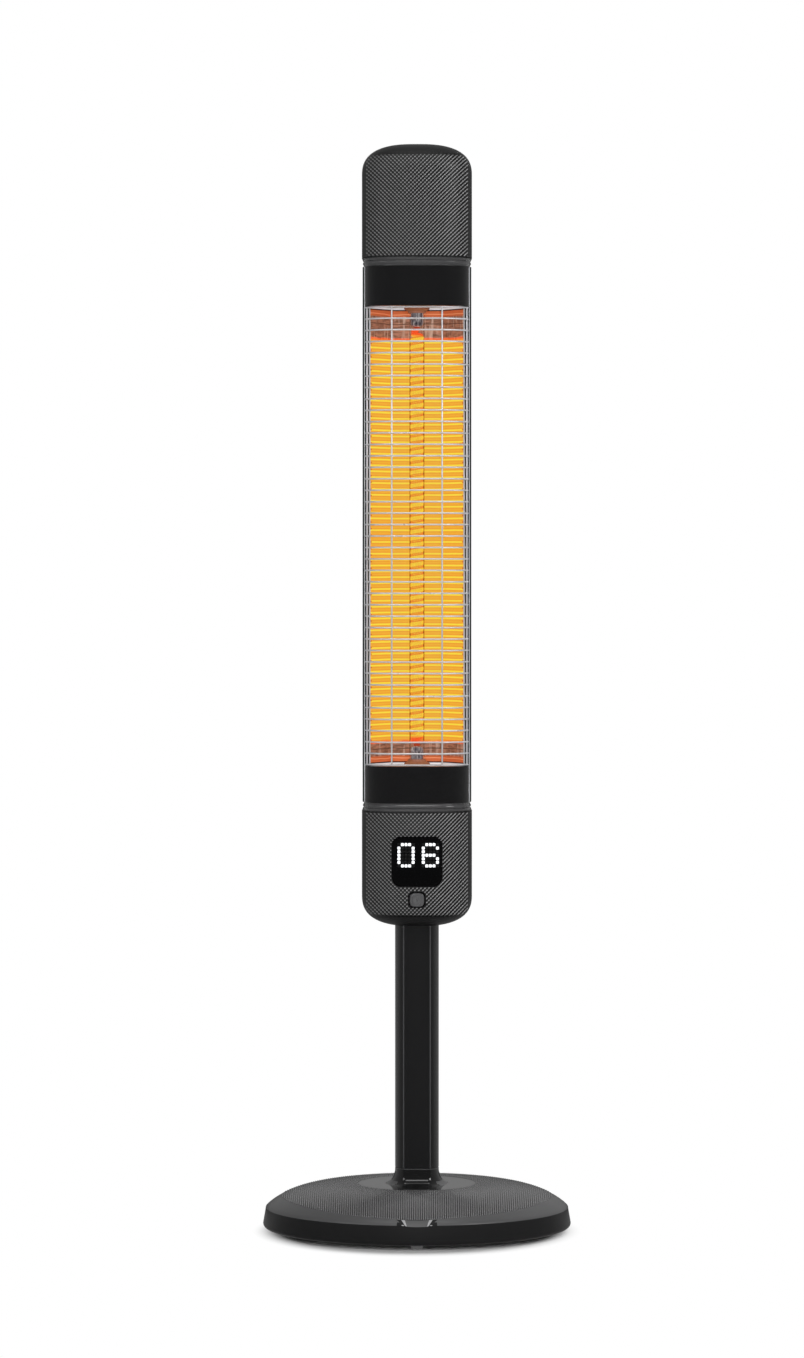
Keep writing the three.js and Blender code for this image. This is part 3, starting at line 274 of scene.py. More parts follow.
def corner_rectangle(half_width, half_height, corner, corner_steps=10):
    points = []
    corners = ((1, -1, -90), (1, 1, 0), (-1, 1, 90), (-1, -1, 180))
    for side_x, side_y, first in corners:
        for step in range(corner_steps + 1):
            angle = math.radians(first + 90 * step / corner_steps)
            points.append((
                side_x * (half_width - corner) + corner * math.cos(angle),
                side_y * (half_height - corner) + corner * math.sin(angle),
            ))
    return points


def pole_outline(grow, stand, side_steps=14):
    """The pole's section: flat front and rear, and round sides that meet them in corners."""
    half_flat = stand.pole_flat / 2
    half_width, half_depth = (half + grow for half in half_of(POLE)[:2])
    centre = (half_width ** 2 - half_flat ** 2 - half_depth ** 2) / (2 * (half_width - half_flat))
    radius = half_width - centre
    reach = math.asin(half_depth / radius)
    right = [
        (centre + radius * math.cos(angle), radius * math.sin(angle))
        for angle in (-reach + 2 * reach * step / side_steps for step in range(side_steps + 1))
    ]
    return right + [(-x, -y) for x, y in right]


# Mesh tools

def start_edges(bm, points, closed=True):
    verts = [bm.verts.new(point) for point in points]
    following = verts[1:] + verts[:1] if closed else verts[1:]
    return verts, [bm.edges.new(pair) for pair in zip(verts, following)]


def loft(bm, rings, closed=True, start_cap=True, end_cap=True):
    """Extrudes a first ring from ring to ring and closes its ends; returns the last ring's vertices."""
    verts, edges = start_edges(bm, rings[0], closed)
    if start_cap:
        bmesh.ops.contextual_create(bm, geom=edges)
    for ring in rings[1:]:
        made = bmesh.ops.extrude_edge_only(bm, edges=edges)["geom"]
        fresh = {item for item in made if isinstance(item, bmesh.types.BMVert)}
        moved = []
        for vert, place in zip(verts, ring):
            twin = next(e.other_vert(vert) for e in vert.link_edges if e.other_vert(vert) in fresh)
            twin.co = place
            moved.append(twin)
        verts = moved
        edges = [item for item in made if isinstance(item, bmesh.types.BMEdge) and set(item.verts) <= fresh]
    if end_cap:
        bmesh.ops.contextual_create(bm, geom=edges)
    return verts


def prism(bm, outline, low, high):
    return loft(bm, [[(x, y, z) for x, y in outline] for z in (low, high)])


def front_prism(bm, outline, front, back, centre_z=0):
    return loft(bm, [[(x, y, centre_z + z) for x, z in outline] for y in (front, back)])


def lathe(bm, profile, steps, centre=(0, 0, 0), axis=(0, 0, 1)):
    """Spins a profile of radius and height about an axis; closed where it starts and ends on it."""
    upright = axis[2] == 1
    points = [(r, 0, h) if upright else (r, h, 0) for r, h in profile]
    verts, edges = start_edges(bm, [Vector(p) + Vector(centre) for p in points], closed=False)
    bmesh.ops.spin(
        bm, geom=verts + edges, cent=centre, axis=axis, angle=FULL_TURN, steps=steps, use_merge=True,
    )
    bmesh.ops.remove_doubles(bm, verts=bm.verts, dist=MERGE_DISTANCE)


def to_mesh(bm, fix_normals=True):
    if fix_normals:
        bmesh.ops.remove_doubles(bm, verts=bm.verts, dist=MERGE_DISTANCE)
        bmesh.ops.recalc_face_normals(bm, faces=bm.faces)
    mesh = bpy.data.meshes.new("mesh")
    bm.to_mesh(mesh)
    bm.free()
    return mesh


def solid(build):
    """A mesh from a function that fills a bmesh."""
    bm = bmesh.new()
    build(bm)
    return to_mesh(bm)


def carved(mesh, cutters):
    """The mesh with each cutter taken out of it."""
    collection = bpy.context.scene.collection
    work = bpy.data.objects.new("work", mesh)
    collection.objects.link(work)
    tools = []
    for cutter in cutters:
        tool = bpy.data.objects.new("tool", cutter)
        collection.objects.link(tool)
        tools.append(tool)
        modifier = work.modifiers.new("cut", "BOOLEAN")
        modifier.object = tool
        modifier.operation = "DIFFERENCE"
        modifier.solver = "EXACT"
    depsgraph = bpy.context.evaluated_depsgraph_get()
    result = bpy.data.meshes.new_from_object(work.evaluated_get(depsgraph))
    for item in [work, *tools]:
        bpy.data.objects.remove(item)
    return result


def joined(meshes):
    bm = bmesh.new()
    for mesh in meshes:
        bm.from_mesh(mesh)
    return to_mesh(bm, fix_normals=False)


def use_material(mesh, index):
    for polygon in mesh.polygons:
        polygon.material_index = index


def face_towards(bm, direction):
    """Turns all faces over if together they look away from a direction."""
    bm.normal_update()
    if sum(face.normal.dot(direction) for face in bm.faces) < 0:
        bmesh.ops.reverse_faces(bm, faces=bm.faces)


def add_piece(mesh, name, materials, nodes=(), body="heater", sharp_angle=32):
    mesh.name = name
    for material in materials:
        mesh.materials.append(material)
    mesh.shade_smooth()
    mesh.set_sharp_from_angle(angle=math.radians(sharp_angle))
    piece = bpy.data.objects.new(name, mesh)
    bpy.context.scene.collection.objects.link(piece)
    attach(piece, body)
    if nodes:
        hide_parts(*nodes)
    return piece


def soften(piece):
    """Rounds the edges that turn by more than 40 degrees."""
    modifier = piece.modifiers.new("soft edges", "BEVEL")
    modifier.width = FIT_GAP
    modifier.segments = 2
    modifier.limit_method = "ANGLE"
    modifier.angle_limit = math.radians(40)
    modifier.harden_normals = True


# Materials

WHITE = (1, 1, 1)

# Distances from the reflector's ends at which its brown zones change, zones that also glow as a painted
# reflection
BARE_EDGE = (0.0019, 0.0016)
DARK_GAP = (0.0031, 0.0027)
BRIGHT_LINE = 0.0062
WARM_STRIP = (0.0092, 0.0078)
DARK_LINE = 0.0155
LINE_HALF_WIDTH = 0.0006


def feed(tree, node, inputs):
    """Links or sets a node's inputs, which are given by name or by place."""
    for key, value in inputs.items():
        socket = node.inputs[key]
        if isinstance(value, bpy.types.NodeSocket):
            tree.links.new(value, socket)
        elif socket.type == "RGBA":
            socket.default_value = (*value, 1)
        else:
            socket.default_value = value


def add_node(tree, kind, inputs, **settings):
    """A shader node of a kind, such as TexNoise, with its settings and inputs."""
    node = tree.nodes.new("ShaderNode" + kind)
    for name, value in settings.items():
        setattr(node, name, value)
    feed(tree, node, inputs)
    return node


def math_node(tree, operation, first, second=0):
    return add_node(tree, "Math", {0: first, 1: second}, operation=operation).outputs[0]


def away_from(tree, value, centre):
    return math_node(tree, "ABSOLUTE", math_node(tree, "SUBTRACT", value, centre))


def map_range(tree, value, low, high, out_low=0, out_high=1, smooth=False):
    inputs = {"Value": value, "From Min": low, "From Max": high, "To Min": out_low, "To Max": out_high}
    kind = "SMOOTHSTEP" if smooth else "LINEAR"
    return add_node(tree, "MapRange", inputs, interpolation_type=kind).outputs["Result"]


def spread_over(tree, value, low, high):
    """A value between 0 and 1 spread over a range."""
    return map_range(tree, value, 0, 1, low, high)


def band(tree, value, centre, half_width):
    """1 at a place and 0 farther than its half width away, soft between."""
    return map_range(tree, away_from(tree, value, centre), half_width, half_width * 0.3, smooth=True)


def object_place(tree):
    return tree.nodes.new("ShaderNodeTexCoord").outputs["Object"]


def separate(tree, vector):
    return add_node(tree, "SeparateXYZ", {0: vector}).outputs[:3]


def stretched(tree, vector, scale):
    return add_node(tree, "Mapping", {"Vector": vector, "Scale": scale}).outputs["Vector"]


def noise(tree, vector, scale, detail):
    return add_node(tree, "TexNoise", {"Vector": vector, "Scale": scale, "Detail": detail}).outputs["Fac"]


def streaks(tree, vector, scale, detail):
    """Noise of a scale of its own along each axis."""
    return noise(tree, stretched(tree, vector, scale), 1, detail)


def mix_colour(tree, share, first, second):
    return add_node(tree, "Mix", {0: share, 6: first, 7: second}, data_type="RGBA").outputs[2]


def mix_shader(tree, share, first, second):
    return add_node(tree, "MixShader", {0: share, 1: first, 2: second}).outputs[0]


def ramp(tree, value, stops):
    node = add_node(tree, "ValToRGB", {"Fac": value})
    elements = node.color_ramp.elements
    while len(elements) < len(stops):
        elements.new(1)
    for element, (place, shade) in zip(elements, stops):
        element.position = place
        element.color = (*shade, 1)
    return node.outputs["Color"]


def shade_of(colour_value, factor):
    return tuple(channel * factor for channel in colour_value)


def colours():
    return bpy.context.scene.heater_colours


def grain_group():
    """Fine moulded grain: a height for the bump, a roughness that varies and a faint tint."""
    group = bpy.data.node_groups.get("fine grain")
    if group:
        return group
    group = bpy.data.node_groups.new("fine grain", "ShaderNodeTree")
    sockets = {
        "INPUT": ("Grain scale", "Roughness", "Spread", "Colour", "Tint"),
        "OUTPUT": ("Height", "Roughness", "Colour"),
    }
    for in_out, names in sockets.items():
        for name in names:
            kind = "NodeSocketColor" if name == "Colour" else "NodeSocketFloat"
            group.interface.new_socket(name=name, in_out=in_out, socket_type=kind)
    entry = group.nodes.new("NodeGroupInput").outputs
    leave = group.nodes.new("NodeGroupOutput")
    place = object_place(group)
    fine = noise(group, place, entry["Grain scale"], 3)
    broad = noise(group, place, 22, 4)

    def swung(middle, value, amount):
        """A middle value, moved to both sides by an amount as a noise goes up and down."""
        centred = math_node(group, "SUBTRACT", value, 0.5)
        swing = math_node(group, "MULTIPLY", math_node(group, "MULTIPLY", centred, amount), 2)
        return math_node(group, "ADD", middle, swing)

    level = swung(1, fine, entry["Tint"])
    scaled = add_node(group, "VectorMath", {0: entry["Colour"], "Scale": level}, operation="SCALE")
    feed(group, leave, {
        "Height": fine,
        "Roughness": swung(entry["Roughness"], broad, entry["Spread"]),
        "Colour": scaled.outputs[0],
    })
    return group


def new_material(name):
    material = bpy.data.materials.new(name)
    material.use_nodes = True
    tree = material.node_tree
    return material, tree, tree.nodes["Principled BSDF"]


def add_bump(tree, shader, height, distance):
    bump = add_node(tree, "Bump", {"Height": height, "Distance": distance, "Strength": 1})
    feed(tree, shader, {"Normal": bump.outputs["Normal"]})


def grained(
    name, shade, roughness, metallic=0.0, grain_scale=2400, relief=0.00002, spread=0.05, tint=0.1, gloss=0.5,
):
    """A finish of one colour with its grain, for painted, moulded and rolled surfaces."""
    if name in bpy.data.materials:
        return bpy.data.materials[name]
    material, tree, shader = new_material(name)
    grain = tree.nodes.new("ShaderNodeGroup")
    grain.node_tree = grain_group()
    feed(tree, grain, {
        "Grain scale": grain_scale, "Roughness": roughness, "Spread": spread, "Colour": shade, "Tint": tint,
    })
    feed(tree, shader, {
        "Base Color": grain.outputs["Colour"], "Roughness": grain.outputs["Roughness"],
        "Metallic": metallic, "Specular IOR Level": gloss,
    })
    add_bump(tree, shader, grain.outputs["Height"], relief)
    return material


def body_plastic():
    return grained("satin black plastic", colours().body, 0.42, grain_scale=3200, relief=0.00003, gloss=0.14)


def gloss_black():
    return grained("gloss black", colours().gloss, 0.10, relief=0.0, spread=0.03, tint=0.0, gloss=0.45)


def ring_black():
    shade = shade_of(colours().body, 3.6)
    return grained("ring black", shade, 0.14, grain_scale=260, relief=0.0002, spread=0.12)


def sheet_metal():
    return grained("bare sheet metal", colours().sheet, 0.30, 1.0, 1500, 0.00001)


def plated_wire():
    return grained("plated wire", colours().wire, 0.30, 0.5, 1800, 0.00001, spread=0.08)


def rubber_with_painted_glow():
    """Rubber of a pale grey with a painted glow, so that the feet stay pale in the stand's shade."""
    material = grained("rubber", colours().rubber, 0.75, grain_scale=1500, relief=0.00005)
    tree = material.node_tree
    feed(tree, tree.nodes["Principled BSDF"], {"Emission Color": colours().rubber, "Emission Strength": 0.11})
    return material


def pole_paint_with_painted_highlights():
    """The pole's black paint with a painted highlight along the corners of its flat front and painted shade
    beside them.
    """
    material, tree, shader = new_material("pole paint")
    place = object_place(tree)
    grain = noise(tree, place, 5200, 3)
    x = math_node(tree, "ABSOLUTE", separate(tree, place)[0])
    corner_x = bpy.context.scene.heater_stand.pole_flat / 2
    # Painted highlight along each front corner, and painted shade in a strip beside it
    corner = band(tree, x, corner_x + 0.0002, 0.0009)
    beside = band(tree, x, corner_x + 0.0022, 0.0022)
    shade = mix_colour(tree, beside, colours().pole, shade_of(colours().pole, 0.2))
    shade = mix_colour(tree, corner, shade, shade_of(colours().pole, 7))
    feed(tree, shader, {"Base Color": shade, "Roughness": spread_over(tree, grain, 0.16, 0.26)})
    add_bump(tree, shader, grain, 0.00001)
    return material


def painted_relief_shade(tree, stops):
    """Paints light and shade by the relief that is stored in the mesh: painted shade in the valleys, painted
    highlight on the tops.
    """
    relief = tree.nodes.new("ShaderNodeAttribute")
    relief.attribute_name = "relief"
    return ramp(tree, relief.outputs["Fac"], stops)


def knurled_plastic():
    """Black plastic with a painted highlight on its raised dots and painted shade in the valleys between
    them.
    """
    name = "knurled black plastic"
    if name in bpy.data.materials:
        return bpy.data.materials[name]
    material, tree, shader = new_material(name)
    high, low = colours().knurl_top_highlight, colours().knurl_valley_shade
    middle = tuple(a * 0.22 + b * 0.78 for a, b in zip(high, low))
    grain = noise(tree, object_place(tree), 2600, 3)
    feed(tree, shader, {
        "Base Color": painted_relief_shade(tree, [(0.38, low), (0.64, middle), (0.92, high)]),
        "Roughness": spread_over(tree, grain, 0.36, 0.50),
        "Specular IOR Level": 0.2,
    })
    add_bump(tree, shader, grain, 0.00002)
    return material


def ribbed_plastic_with_painted_shade():
    """The dome's plastic with painted shade between its ribs and a painted highlight on their tops."""
    material, tree, shader = new_material("ribbed black plastic")
    dome = colours().dome
    stops = [(0.0, shade_of(dome, 0.03)), (0.30, shade_of(dome, 0.10)), (1.0, shade_of(dome, 2.6))]
    grain = noise(tree, object_place(tree), 1800, 3)
    feed(tree, shader, {
        "Base Color": painted_relief_shade(tree, stops),
        "Roughness": spread_over(tree, grain, 0.20, 0.32),
    })
    add_bump(tree, shader, grain, 0.00002)
    return material


def stripe_colours(tree, place):
    """Horizontal bright, deep and middle stripes, slightly wavy: the painted reflection of the glow that the
    sheet mirrors.
    """
    sizes = bpy.context.scene.heater_chamber
    c = colours()
    x, _, z = separate(tree, place)
    waviness = streaks(tree, place, (60, 60, 260), 3)
    bent = math_node(tree, "ADD", z, spread_over(tree, waviness, -0.0002, 0.0002))
    phase = math_node(tree, "FRACT", math_node(tree, "DIVIDE", bent, sizes.stripe_pitch))
    outer = ramp(tree, phase, [
        (0.0, c.glow_bright), (0.13, c.glow_bright), (0.30, c.glow_deep), (0.48, c.glow_middle),
        (0.66, c.glow_middle), (0.82, c.glow_deep), (1.0, c.glow_bright),
    ])
    calm = tuple(0.62 * a + 0.38 * b for a, b in zip(c.glow_middle, c.glow_bright))
    inner = mix_colour(tree, 0.15, outer, calm)
    fold = sizes.reflector_flat / 2
    blur = 0.0003
    side = map_range(tree, math_node(tree, "ABSOLUTE", x), fold - blur, fold + blur)
    return mix_colour(tree, side, inner, outer), z


def reflector_end_zones(tree, place, z):
    """The ends beyond the glow: wrinkled brown sheet, a warm strip, a dark gap and a bright edge, partly the
    sheet's own tone and partly a painted reflection of the glow.
    """
    c = colours()
    from_end = math_node(tree, "SUBTRACT", half_of(REFLECTOR)[2], away_from(tree, z, middle_of(REFLECTOR)[2]))
    blotch = streaks(tree, place, (120, 120, 520), 5)
    streak = streaks(tree, place, (300, 300, 40), 3)
    seam = streaks(tree, place, (45, 45, 10), 1)
    blotched = map_range(tree, blotch, 0.36, 0.64)
    brown = mix_colour(tree, blotched, shade_of(c.copper, 0.62), shade_of(c.copper, 1.5))
    brown = mix_colour(tree, map_range(tree, streak, 0.56, 0.68), brown, (0.46, 0.31, 0.24))
    line_place = math_node(tree, "ADD", from_end, spread_over(tree, seam, -0.0012, 0.0012))
    dark_line = band(tree, line_place, DARK_LINE, LINE_HALF_WIDTH)
    brown = mix_colour(tree, dark_line, brown, shade_of(c.copper, 0.4))
    bright_line = band(tree, line_place, BRIGHT_LINE, LINE_HALF_WIDTH)
    warm = mix_colour(tree, bright_line, c.copper_warm, (0.80, 0.33, 0.16))
    dark, bare = (0.008, 0.007, 0.007), (0.80, 0.80, 0.85)
    for zone, shade in ((WARM_STRIP, warm), (DARK_GAP, dark), (BARE_EDGE, bare)):
        brown = mix_colour(tree, map_range(tree, from_end, *zone), brown, shade)
    return brown


def reflected_turn_dots(tree, place):
    """A red dot for each turn of the filament at both edges of the sheet: a painted reflection of the
    filament's turns.
    """
    x, _, z = separate(tree, place)
    pitch = bpy.context.scene.heater_chamber.filament_pitch
    turn = math_node(tree, "FRACT", math_node(tree, "DIVIDE", z, pitch))
    reach = map_range(tree, away_from(tree, turn, 0.5), 0.0, 0.24, 1, 0)
    edge = REFLECTOR[1][0]
    side = map_range(tree, math_node(tree, "ABSOLUTE", x), edge - 0.0034, edge - 0.0014)
    return map_range(tree, math_node(tree, "MULTIPLY", reach, side), 0.15, 0.5)


def mirror_sheet():
    """Copper-toned reflector that glows: a painted reflection of the glow in stripes, and a fainter painted
    glow on its two brown ends.
    """
    material, tree, shader = new_material("reflector sheet")
    sizes = bpy.context.scene.heater_chamber
    c = colours()
    place = object_place(tree)
    glow, z = stripe_colours(tree, place)
    middle = (sizes.glow_low + sizes.glow_high) / 2
    half_glow = (sizes.glow_high - sizes.glow_low) / 2
    fade = 0.0022
    ragged = spread_over(tree, streaks(tree, place, (90, 90, 20), 2), -0.0012, 0.0012)
    away = math_node(tree, "ADD", away_from(tree, z, middle), ragged)
    hot = map_range(tree, away, half_glow + fade, half_glow - fade)
    brown = reflector_end_zones(tree, place, z)
    rim = mix_colour(tree, map_range(tree, hot, 0.0, 0.35), brown, c.glow_edge)
    lit = mix_colour(tree, map_range(tree, hot, 0.45, 1.0), rim, glow)
    lit = mix_colour(tree, reflected_turn_dots(tree, place), lit, shade_of(c.glow_edge, 0.7))
    painted_end_glow = mix_colour(tree, 0.36, (0, 0, 0), brown)
    blotch = streaks(tree, place, (140, 140, 420), 5)
    # Emission: painted reflection of the glow, fainter on the brown ends
    feed(tree, shader, {
        "Base Color": mix_colour(tree, hot, brown, shade_of(c.copper, 0.15)),
        "Emission Color": mix_colour(tree, map_range(tree, hot, 0.0, 0.3), painted_end_glow, lit),
        "Emission Strength": 0.93,
        "Metallic": 0.35,
        "Roughness": spread_over(tree, blotch, 0.28, 0.5),
    })
    add_bump(tree, shader, blotch, 0.0003)
    return material


def glowing_carbon():
    """The filament's ribbon: bright along its middle, deeper at its edges, cooling at both ends, with painted
    shade in dots at the tube's left and right sides.
    """
    material, tree, shader = new_material("glowing carbon")
    sizes = bpy.context.scene.heater_chamber
    c = colours()
    place = object_place(tree)
    fibres = streaks(tree, place, (160, 160, 1500), 3)
    x, y, z = separate(tree, place)
    middle = middle_of(FILAMENT)[2]
    half = sizes.filament_turns * sizes.filament_pitch / 2
    turned = math_node(tree, "ARCTAN2", math_node(tree, "SUBTRACT", y, TUBE_AXIS[1]), x)
    climbed = math_node(tree, "DIVIDE", math_node(tree, "SUBTRACT", z, middle - half), sizes.filament_pitch)
    behind = math_node(tree, "SUBTRACT", climbed, math_node(tree, "DIVIDE", turned, FULL_TURN))
    across = math_node(tree, "FRACT", math_node(tree, "ADD", behind, 0.5))
    share = sizes.ribbon_height / sizes.filament_pitch / 2
    across = map_range(tree, across, 0.5 - share, 0.5 + share)
    level = math_node(tree, "ADD", across, spread_over(tree, fibres, -0.1, 0.1))
    shade = ramp(tree, level, [
        (0.0, c.glow_deep), (0.07, c.glow_deep), (0.22, c.glow_middle), (0.34, c.glow_bright),
        (0.43, c.glow_middle), (0.5, c.glow_bright), (0.60, c.glow_middle), (0.68, c.glow_bright),
        (0.80, c.glow_middle), (0.93, c.glow_deep), (1.0, c.glow_edge),
    ])
    # Painted shade in dots at the left and right sides of the tube, where the ribbon turns edge-on
    edge_start, edge_end = 0.0054, 0.0062
    side = map_range(tree, math_node(tree, "ABSOLUTE", x), edge_start, edge_end)
    rim_share = away_from(tree, across, 0.5)
    dark_dot = math_node(tree, "MULTIPLY", side, map_range(tree, rim_share, 0.12, 0.42))
    cool_start, cool_end = half + 0.001, half + 0.009
    cool = map_range(tree, away_from(tree, z, middle), cool_start, cool_end)
    lit = mix_colour(tree, map_range(tree, cool, 0.0, 0.4), shade, shade_of(c.glow_edge, 1.2))
    lit = mix_colour(tree, map_range(tree, cool, 0.85, 1.1), lit, (0.01, 0.008, 0.008))
    lit = mix_colour(tree, dark_dot, lit, shade_of(c.glow_edge, 0.12))
    feed(tree, shader, {
        "Base Color": (0.02, 0.012, 0.01),
        "Emission Color": lit,
        "Emission Strength": 1,
        "Roughness": spread_over(tree, fibres, 0.5, 0.8),
    })
    add_bump(tree, shader, fibres, 0.0001)
    return material


def clear_quartz():
    """Clear, faintly rippled quartz with the red of the glow painted on its sides."""
    material, tree, shader = new_material("clear quartz")
    sizes = bpy.context.scene.heater_chamber
    place = object_place(tree)
    x, _, z = separate(tree, place)
    radius = TUBE[1][0]
    fade = 0.002
    limb = map_range(tree, math_node(tree, "ABSOLUTE", x), radius - 0.0011, radius - 0.0004)
    lit = map_range(tree, z, sizes.glow_low, sizes.glow_low + fade)
    lit = math_node(tree, "MULTIPLY", lit, map_range(tree, z, sizes.glow_high, sizes.glow_high - fade))
    painted_glow_side = math_node(tree, "MULTIPLY", limb, lit)
    ripple = streaks(tree, place, (60, 60, 25), 2)
    feed(tree, shader, {
        "Base Color": mix_colour(tree, painted_glow_side, (0.98, 0.94, 0.90), (0.42, 0.06, 0.02)),
        "Transmission Weight": 1,
        "IOR": 1.45,
        "Roughness": spread_over(tree, ripple, 0.0, 0.05),
    })
    add_bump(tree, shader, ripple, 0.00005)
    return material


def pinched_quartz_with_painted_light():
    """Quartz pressed round the metal foil: violet-grey with painted highlights and painted shade in upright
    streaks, and a faint painted glow.
    """
    material, tree, shader = new_material("pinched quartz")
    streak = streaks(tree, object_place(tree), (520, 520, 30), 3)
    shade = ramp(tree, streak, [
        (0.34, (0.05, 0.045, 0.06)), (0.45, (0.25, 0.23, 0.28)), (0.55, (0.42, 0.40, 0.46)),
        (0.66, (0.9, 0.9, 0.95)),
    ])
    feed(tree, shader, {
        "Base Color": shade,
        "Emission Color": shade,
        "Emission Strength": 0.3,
        "Roughness": spread_over(tree, streak, 0.05, 0.25),
    })
    add_bump(tree, shader, streak, 0.0004)
    return material


def dot_material(name, shade, strength):
    """A display dot's glow, a little uneven inside the dot."""
    material, tree, shader = new_material(name)
    centre = noise(tree, object_place(tree), 1400, 1)
    feed(tree, shader, {
        "Base Color": shade_of(shade, 0.3),
        "Emission Color": mix_colour(tree, map_range(tree, centre, 0.2, 0.8), shade_of(shade, 0.92), shade),
        "Emission Strength": strength,
        "Roughness": 0.3,
    })
    return material


def circuit_board():
    """A board whose tracks are lighter than its green ground."""
    material, tree, shader = new_material("circuit board")
    tracks = add_node(tree, "TexBrick", {
        "Vector": stretched(tree, object_place(tree), (260, 260, 260)),
        "Color1": colours().board,
        "Color2": shade_of(colours().board, 1.5),
        "Mortar": shade_of(colours().board, 2.4),
    })
    feed(tree, shader, {"Base Color": tracks.outputs["Color"], "Roughness": 0.45})
    add_bump(tree, shader, tracks.outputs["Fac"], 0.00005)
    return material


# Head: caps

# Half width and half height of the button, of the bore of its ring and of its hole in the cap
BUTTON_PAD = (0.0068, 0.0064)
BUTTON_BORE = (0.0071, 0.0067)
BUTTON_HOLE = (0.00845, 0.0079)
GLAND_HOLE_RADIUS = 0.0073


def crown_stations(rim, apex, crown_height, power):
    """Width share and height from a cap's rim up its straight wall and over its crown."""
    direction = math.copysign(1, apex - rim)
    start = apex - direction * crown_height
    stations = [(1.0, rim)]
    for step in range(CROWN_STEPS):
        share, rise = outline_point(math.pi / 2 * step / CROWN_STEPS, 1, 1, power)
        stations.append((share, start + direction * crown_height * rise))
    return stations


def crown_skin(bm, half_width, half_depth, rim, apex, crown_height, head):
    stations = crown_stations(rim, apex, crown_height, head.crown_squareness)
    outline = rounded_outline(half_width, half_depth, head.squareness)
    rings = [[(share * x, share * y, z) for x, y in outline] for share, z in stations]
    last = loft(bm, rings)
    for vert in last:
        vert.co.z = apex


def crown_climb(z, box, apex_up, head):
    """How far a height lies past the start of a cap's crown, towards its apex."""
    start = box[1][2] - head.crown_height if apex_up else box[0][2] - FIT_GAP + head.crown_height
    return z - start if apex_up else start - z


def crown_share(z, box, apex_up, head):
    """Share of the full width that a cap keeps at a height."""
    climb = crown_climb(z, box, apex_up, head) / head.crown_height
    if climb <= 0:
        return 1.0
    return max(1 - min(climb, 1) ** head.crown_squareness, 0) ** (1 / head.crown_squareness)


def skin_depth(x, z, box, apex_up, head):
    """Where a cap's skin lies behind a place in front of it; None beside the cap."""
    share = crown_share(z, box, apex_up, head)
    half_x, half_y = box[1][0] * share, -box[0][1] * share
    if share <= 0 or abs(x) >= half_x:
        return None
    return -outline_reach(x, half_x, half_y, head.squareness)


def knurl_relief(x, z, head):
    """The knurl's wave at a place, from 0 in a valley to 1 on a dot."""
    rise = math.pi * z / head.knurl_pitch
    across = math.pi * x / head.knurl_pitch
    lean = max(-1, min(1, x / head.knurl_lean_reach)) * head.knurl_lean
    wave = (0.5 - lean) * math.cos(across + rise) + (0.5 + lean) * math.cos(across - rise)
    return (wave + 1) / 2


def knurl_patch(box, apex_up, head, holes):
    """The knurled face in front of a cap: a fine grid laid on it, whose dots stand proud of the skin."""
    step = head.knurl_pitch / 2
    columns = 4 * round(head.knurl_half_width / (2 * step)) + 4
    rows = 4 * math.ceil((box[1][2] - box[0][2]) / (4 * step))
    half_x = columns * step / 2
    half_z = rows * step / 2
    middle_z = box[0][2] + half_z if apex_up else box[1][2] - half_z
    upward = step if apex_up else -step
    crown_edge_share = 0.965
    hole_core_share = 0.86
    sunk_at_hole = 0.0015
    sunk_at_edge = 0.0002
    skin_lift = 0.00003

    def knurl_end(z):
        past = crown_climb(z, box, apex_up, head) - head.knurl_crown_share * head.crown_height
        return max(0, min(1, 0.5 - past / (3 * step)))

    bm = bmesh.new()
    bmesh.ops.create_grid(bm, x_segments=columns, y_segments=rows, size=1)
    lost = []
    reliefs = {}
    for vert in bm.verts:
        x = vert.co.x * half_x
        z = middle_z + vert.co.y * half_z
        outward = math.copysign(step, x)
        depth = skin_depth(x, z, box, apex_up, head)
        beside = skin_depth(x + outward, z, box, apex_up, head)
        above = skin_depth(x, z + upward, box, apex_up, head)
        if depth is None or beside is None or above is None:
            lost.append(vert)
            continue
        normal = Vector(((beside - depth) / outward, -1, (above - depth) / upward)).normalized()
        relief = knurl_relief(x, z - middle_z, head)
        share = crown_share(z, box, apex_up, head)
        edge_x = min(head.knurl_half_width, crown_edge_share * box[1][0] * share)
        side = max(0, min(1, (edge_x - abs(x)) / step))
        rim_side = min(1, (box[1][2] - z if not apex_up else z - box[0][2]) / step)
        proud = side * knurl_end(z) * max(rim_side, 0)
        inside = next((hole for hole in holes if hole(x, z) < 1), None)
        if inside is not None:
            if inside(x, z) < hole_core_share:
                lost.append(vert)
                continue
            proud = 0
            relief = 0
        sunk = sunk_at_hole if inside is not None else sunk_at_edge
        lift = relief * head.knurl_height + skin_lift if proud > 0 else -sunk
        lift = lift * proud if proud > 0 else lift
        reliefs[vert] = relief * proud
        vert.co = Vector((x, depth, z)) + normal * lift
    bmesh.ops.delete(bm, geom=lost, context="VERTS")
    values = [reliefs[vert] for vert in bm.verts]
    face_towards(bm, FORWARD)
    patch = to_mesh(bm, fix_normals=False)
    use_material(patch, 1)
    return patch, values


def cap_shell(box, apex_up, head, cutters):
    half_x, half_y = box[1][0], box[1][1]
    rim = box[0][2] if apex_up else box[1][2]
    apex = box[1][2] if apex_up else box[0][2] - FIT_GAP
    direction = 1 if apex_up else -1
    wall = head.cap_wall
    outer = solid(lambda bm: crown_skin(bm, half_x, half_y, rim, apex, head.crown_height, head))
    inner = solid(lambda bm: crown_skin(
        bm, half_x - wall, half_y - wall, rim - direction * OVERRUN, apex - direction * wall,
        head.crown_height - wall, head,
    ))
    return carved(outer, [inner, *cutters])


def add_relief(mesh, plain, values):
    """Stores each vertex's relief for the material; the plain vertices come first and have none."""
    relief = mesh.attributes.new("relief", "FLOAT", "POINT")
    relief.data.foreach_set("value", [0.0] * plain + values)


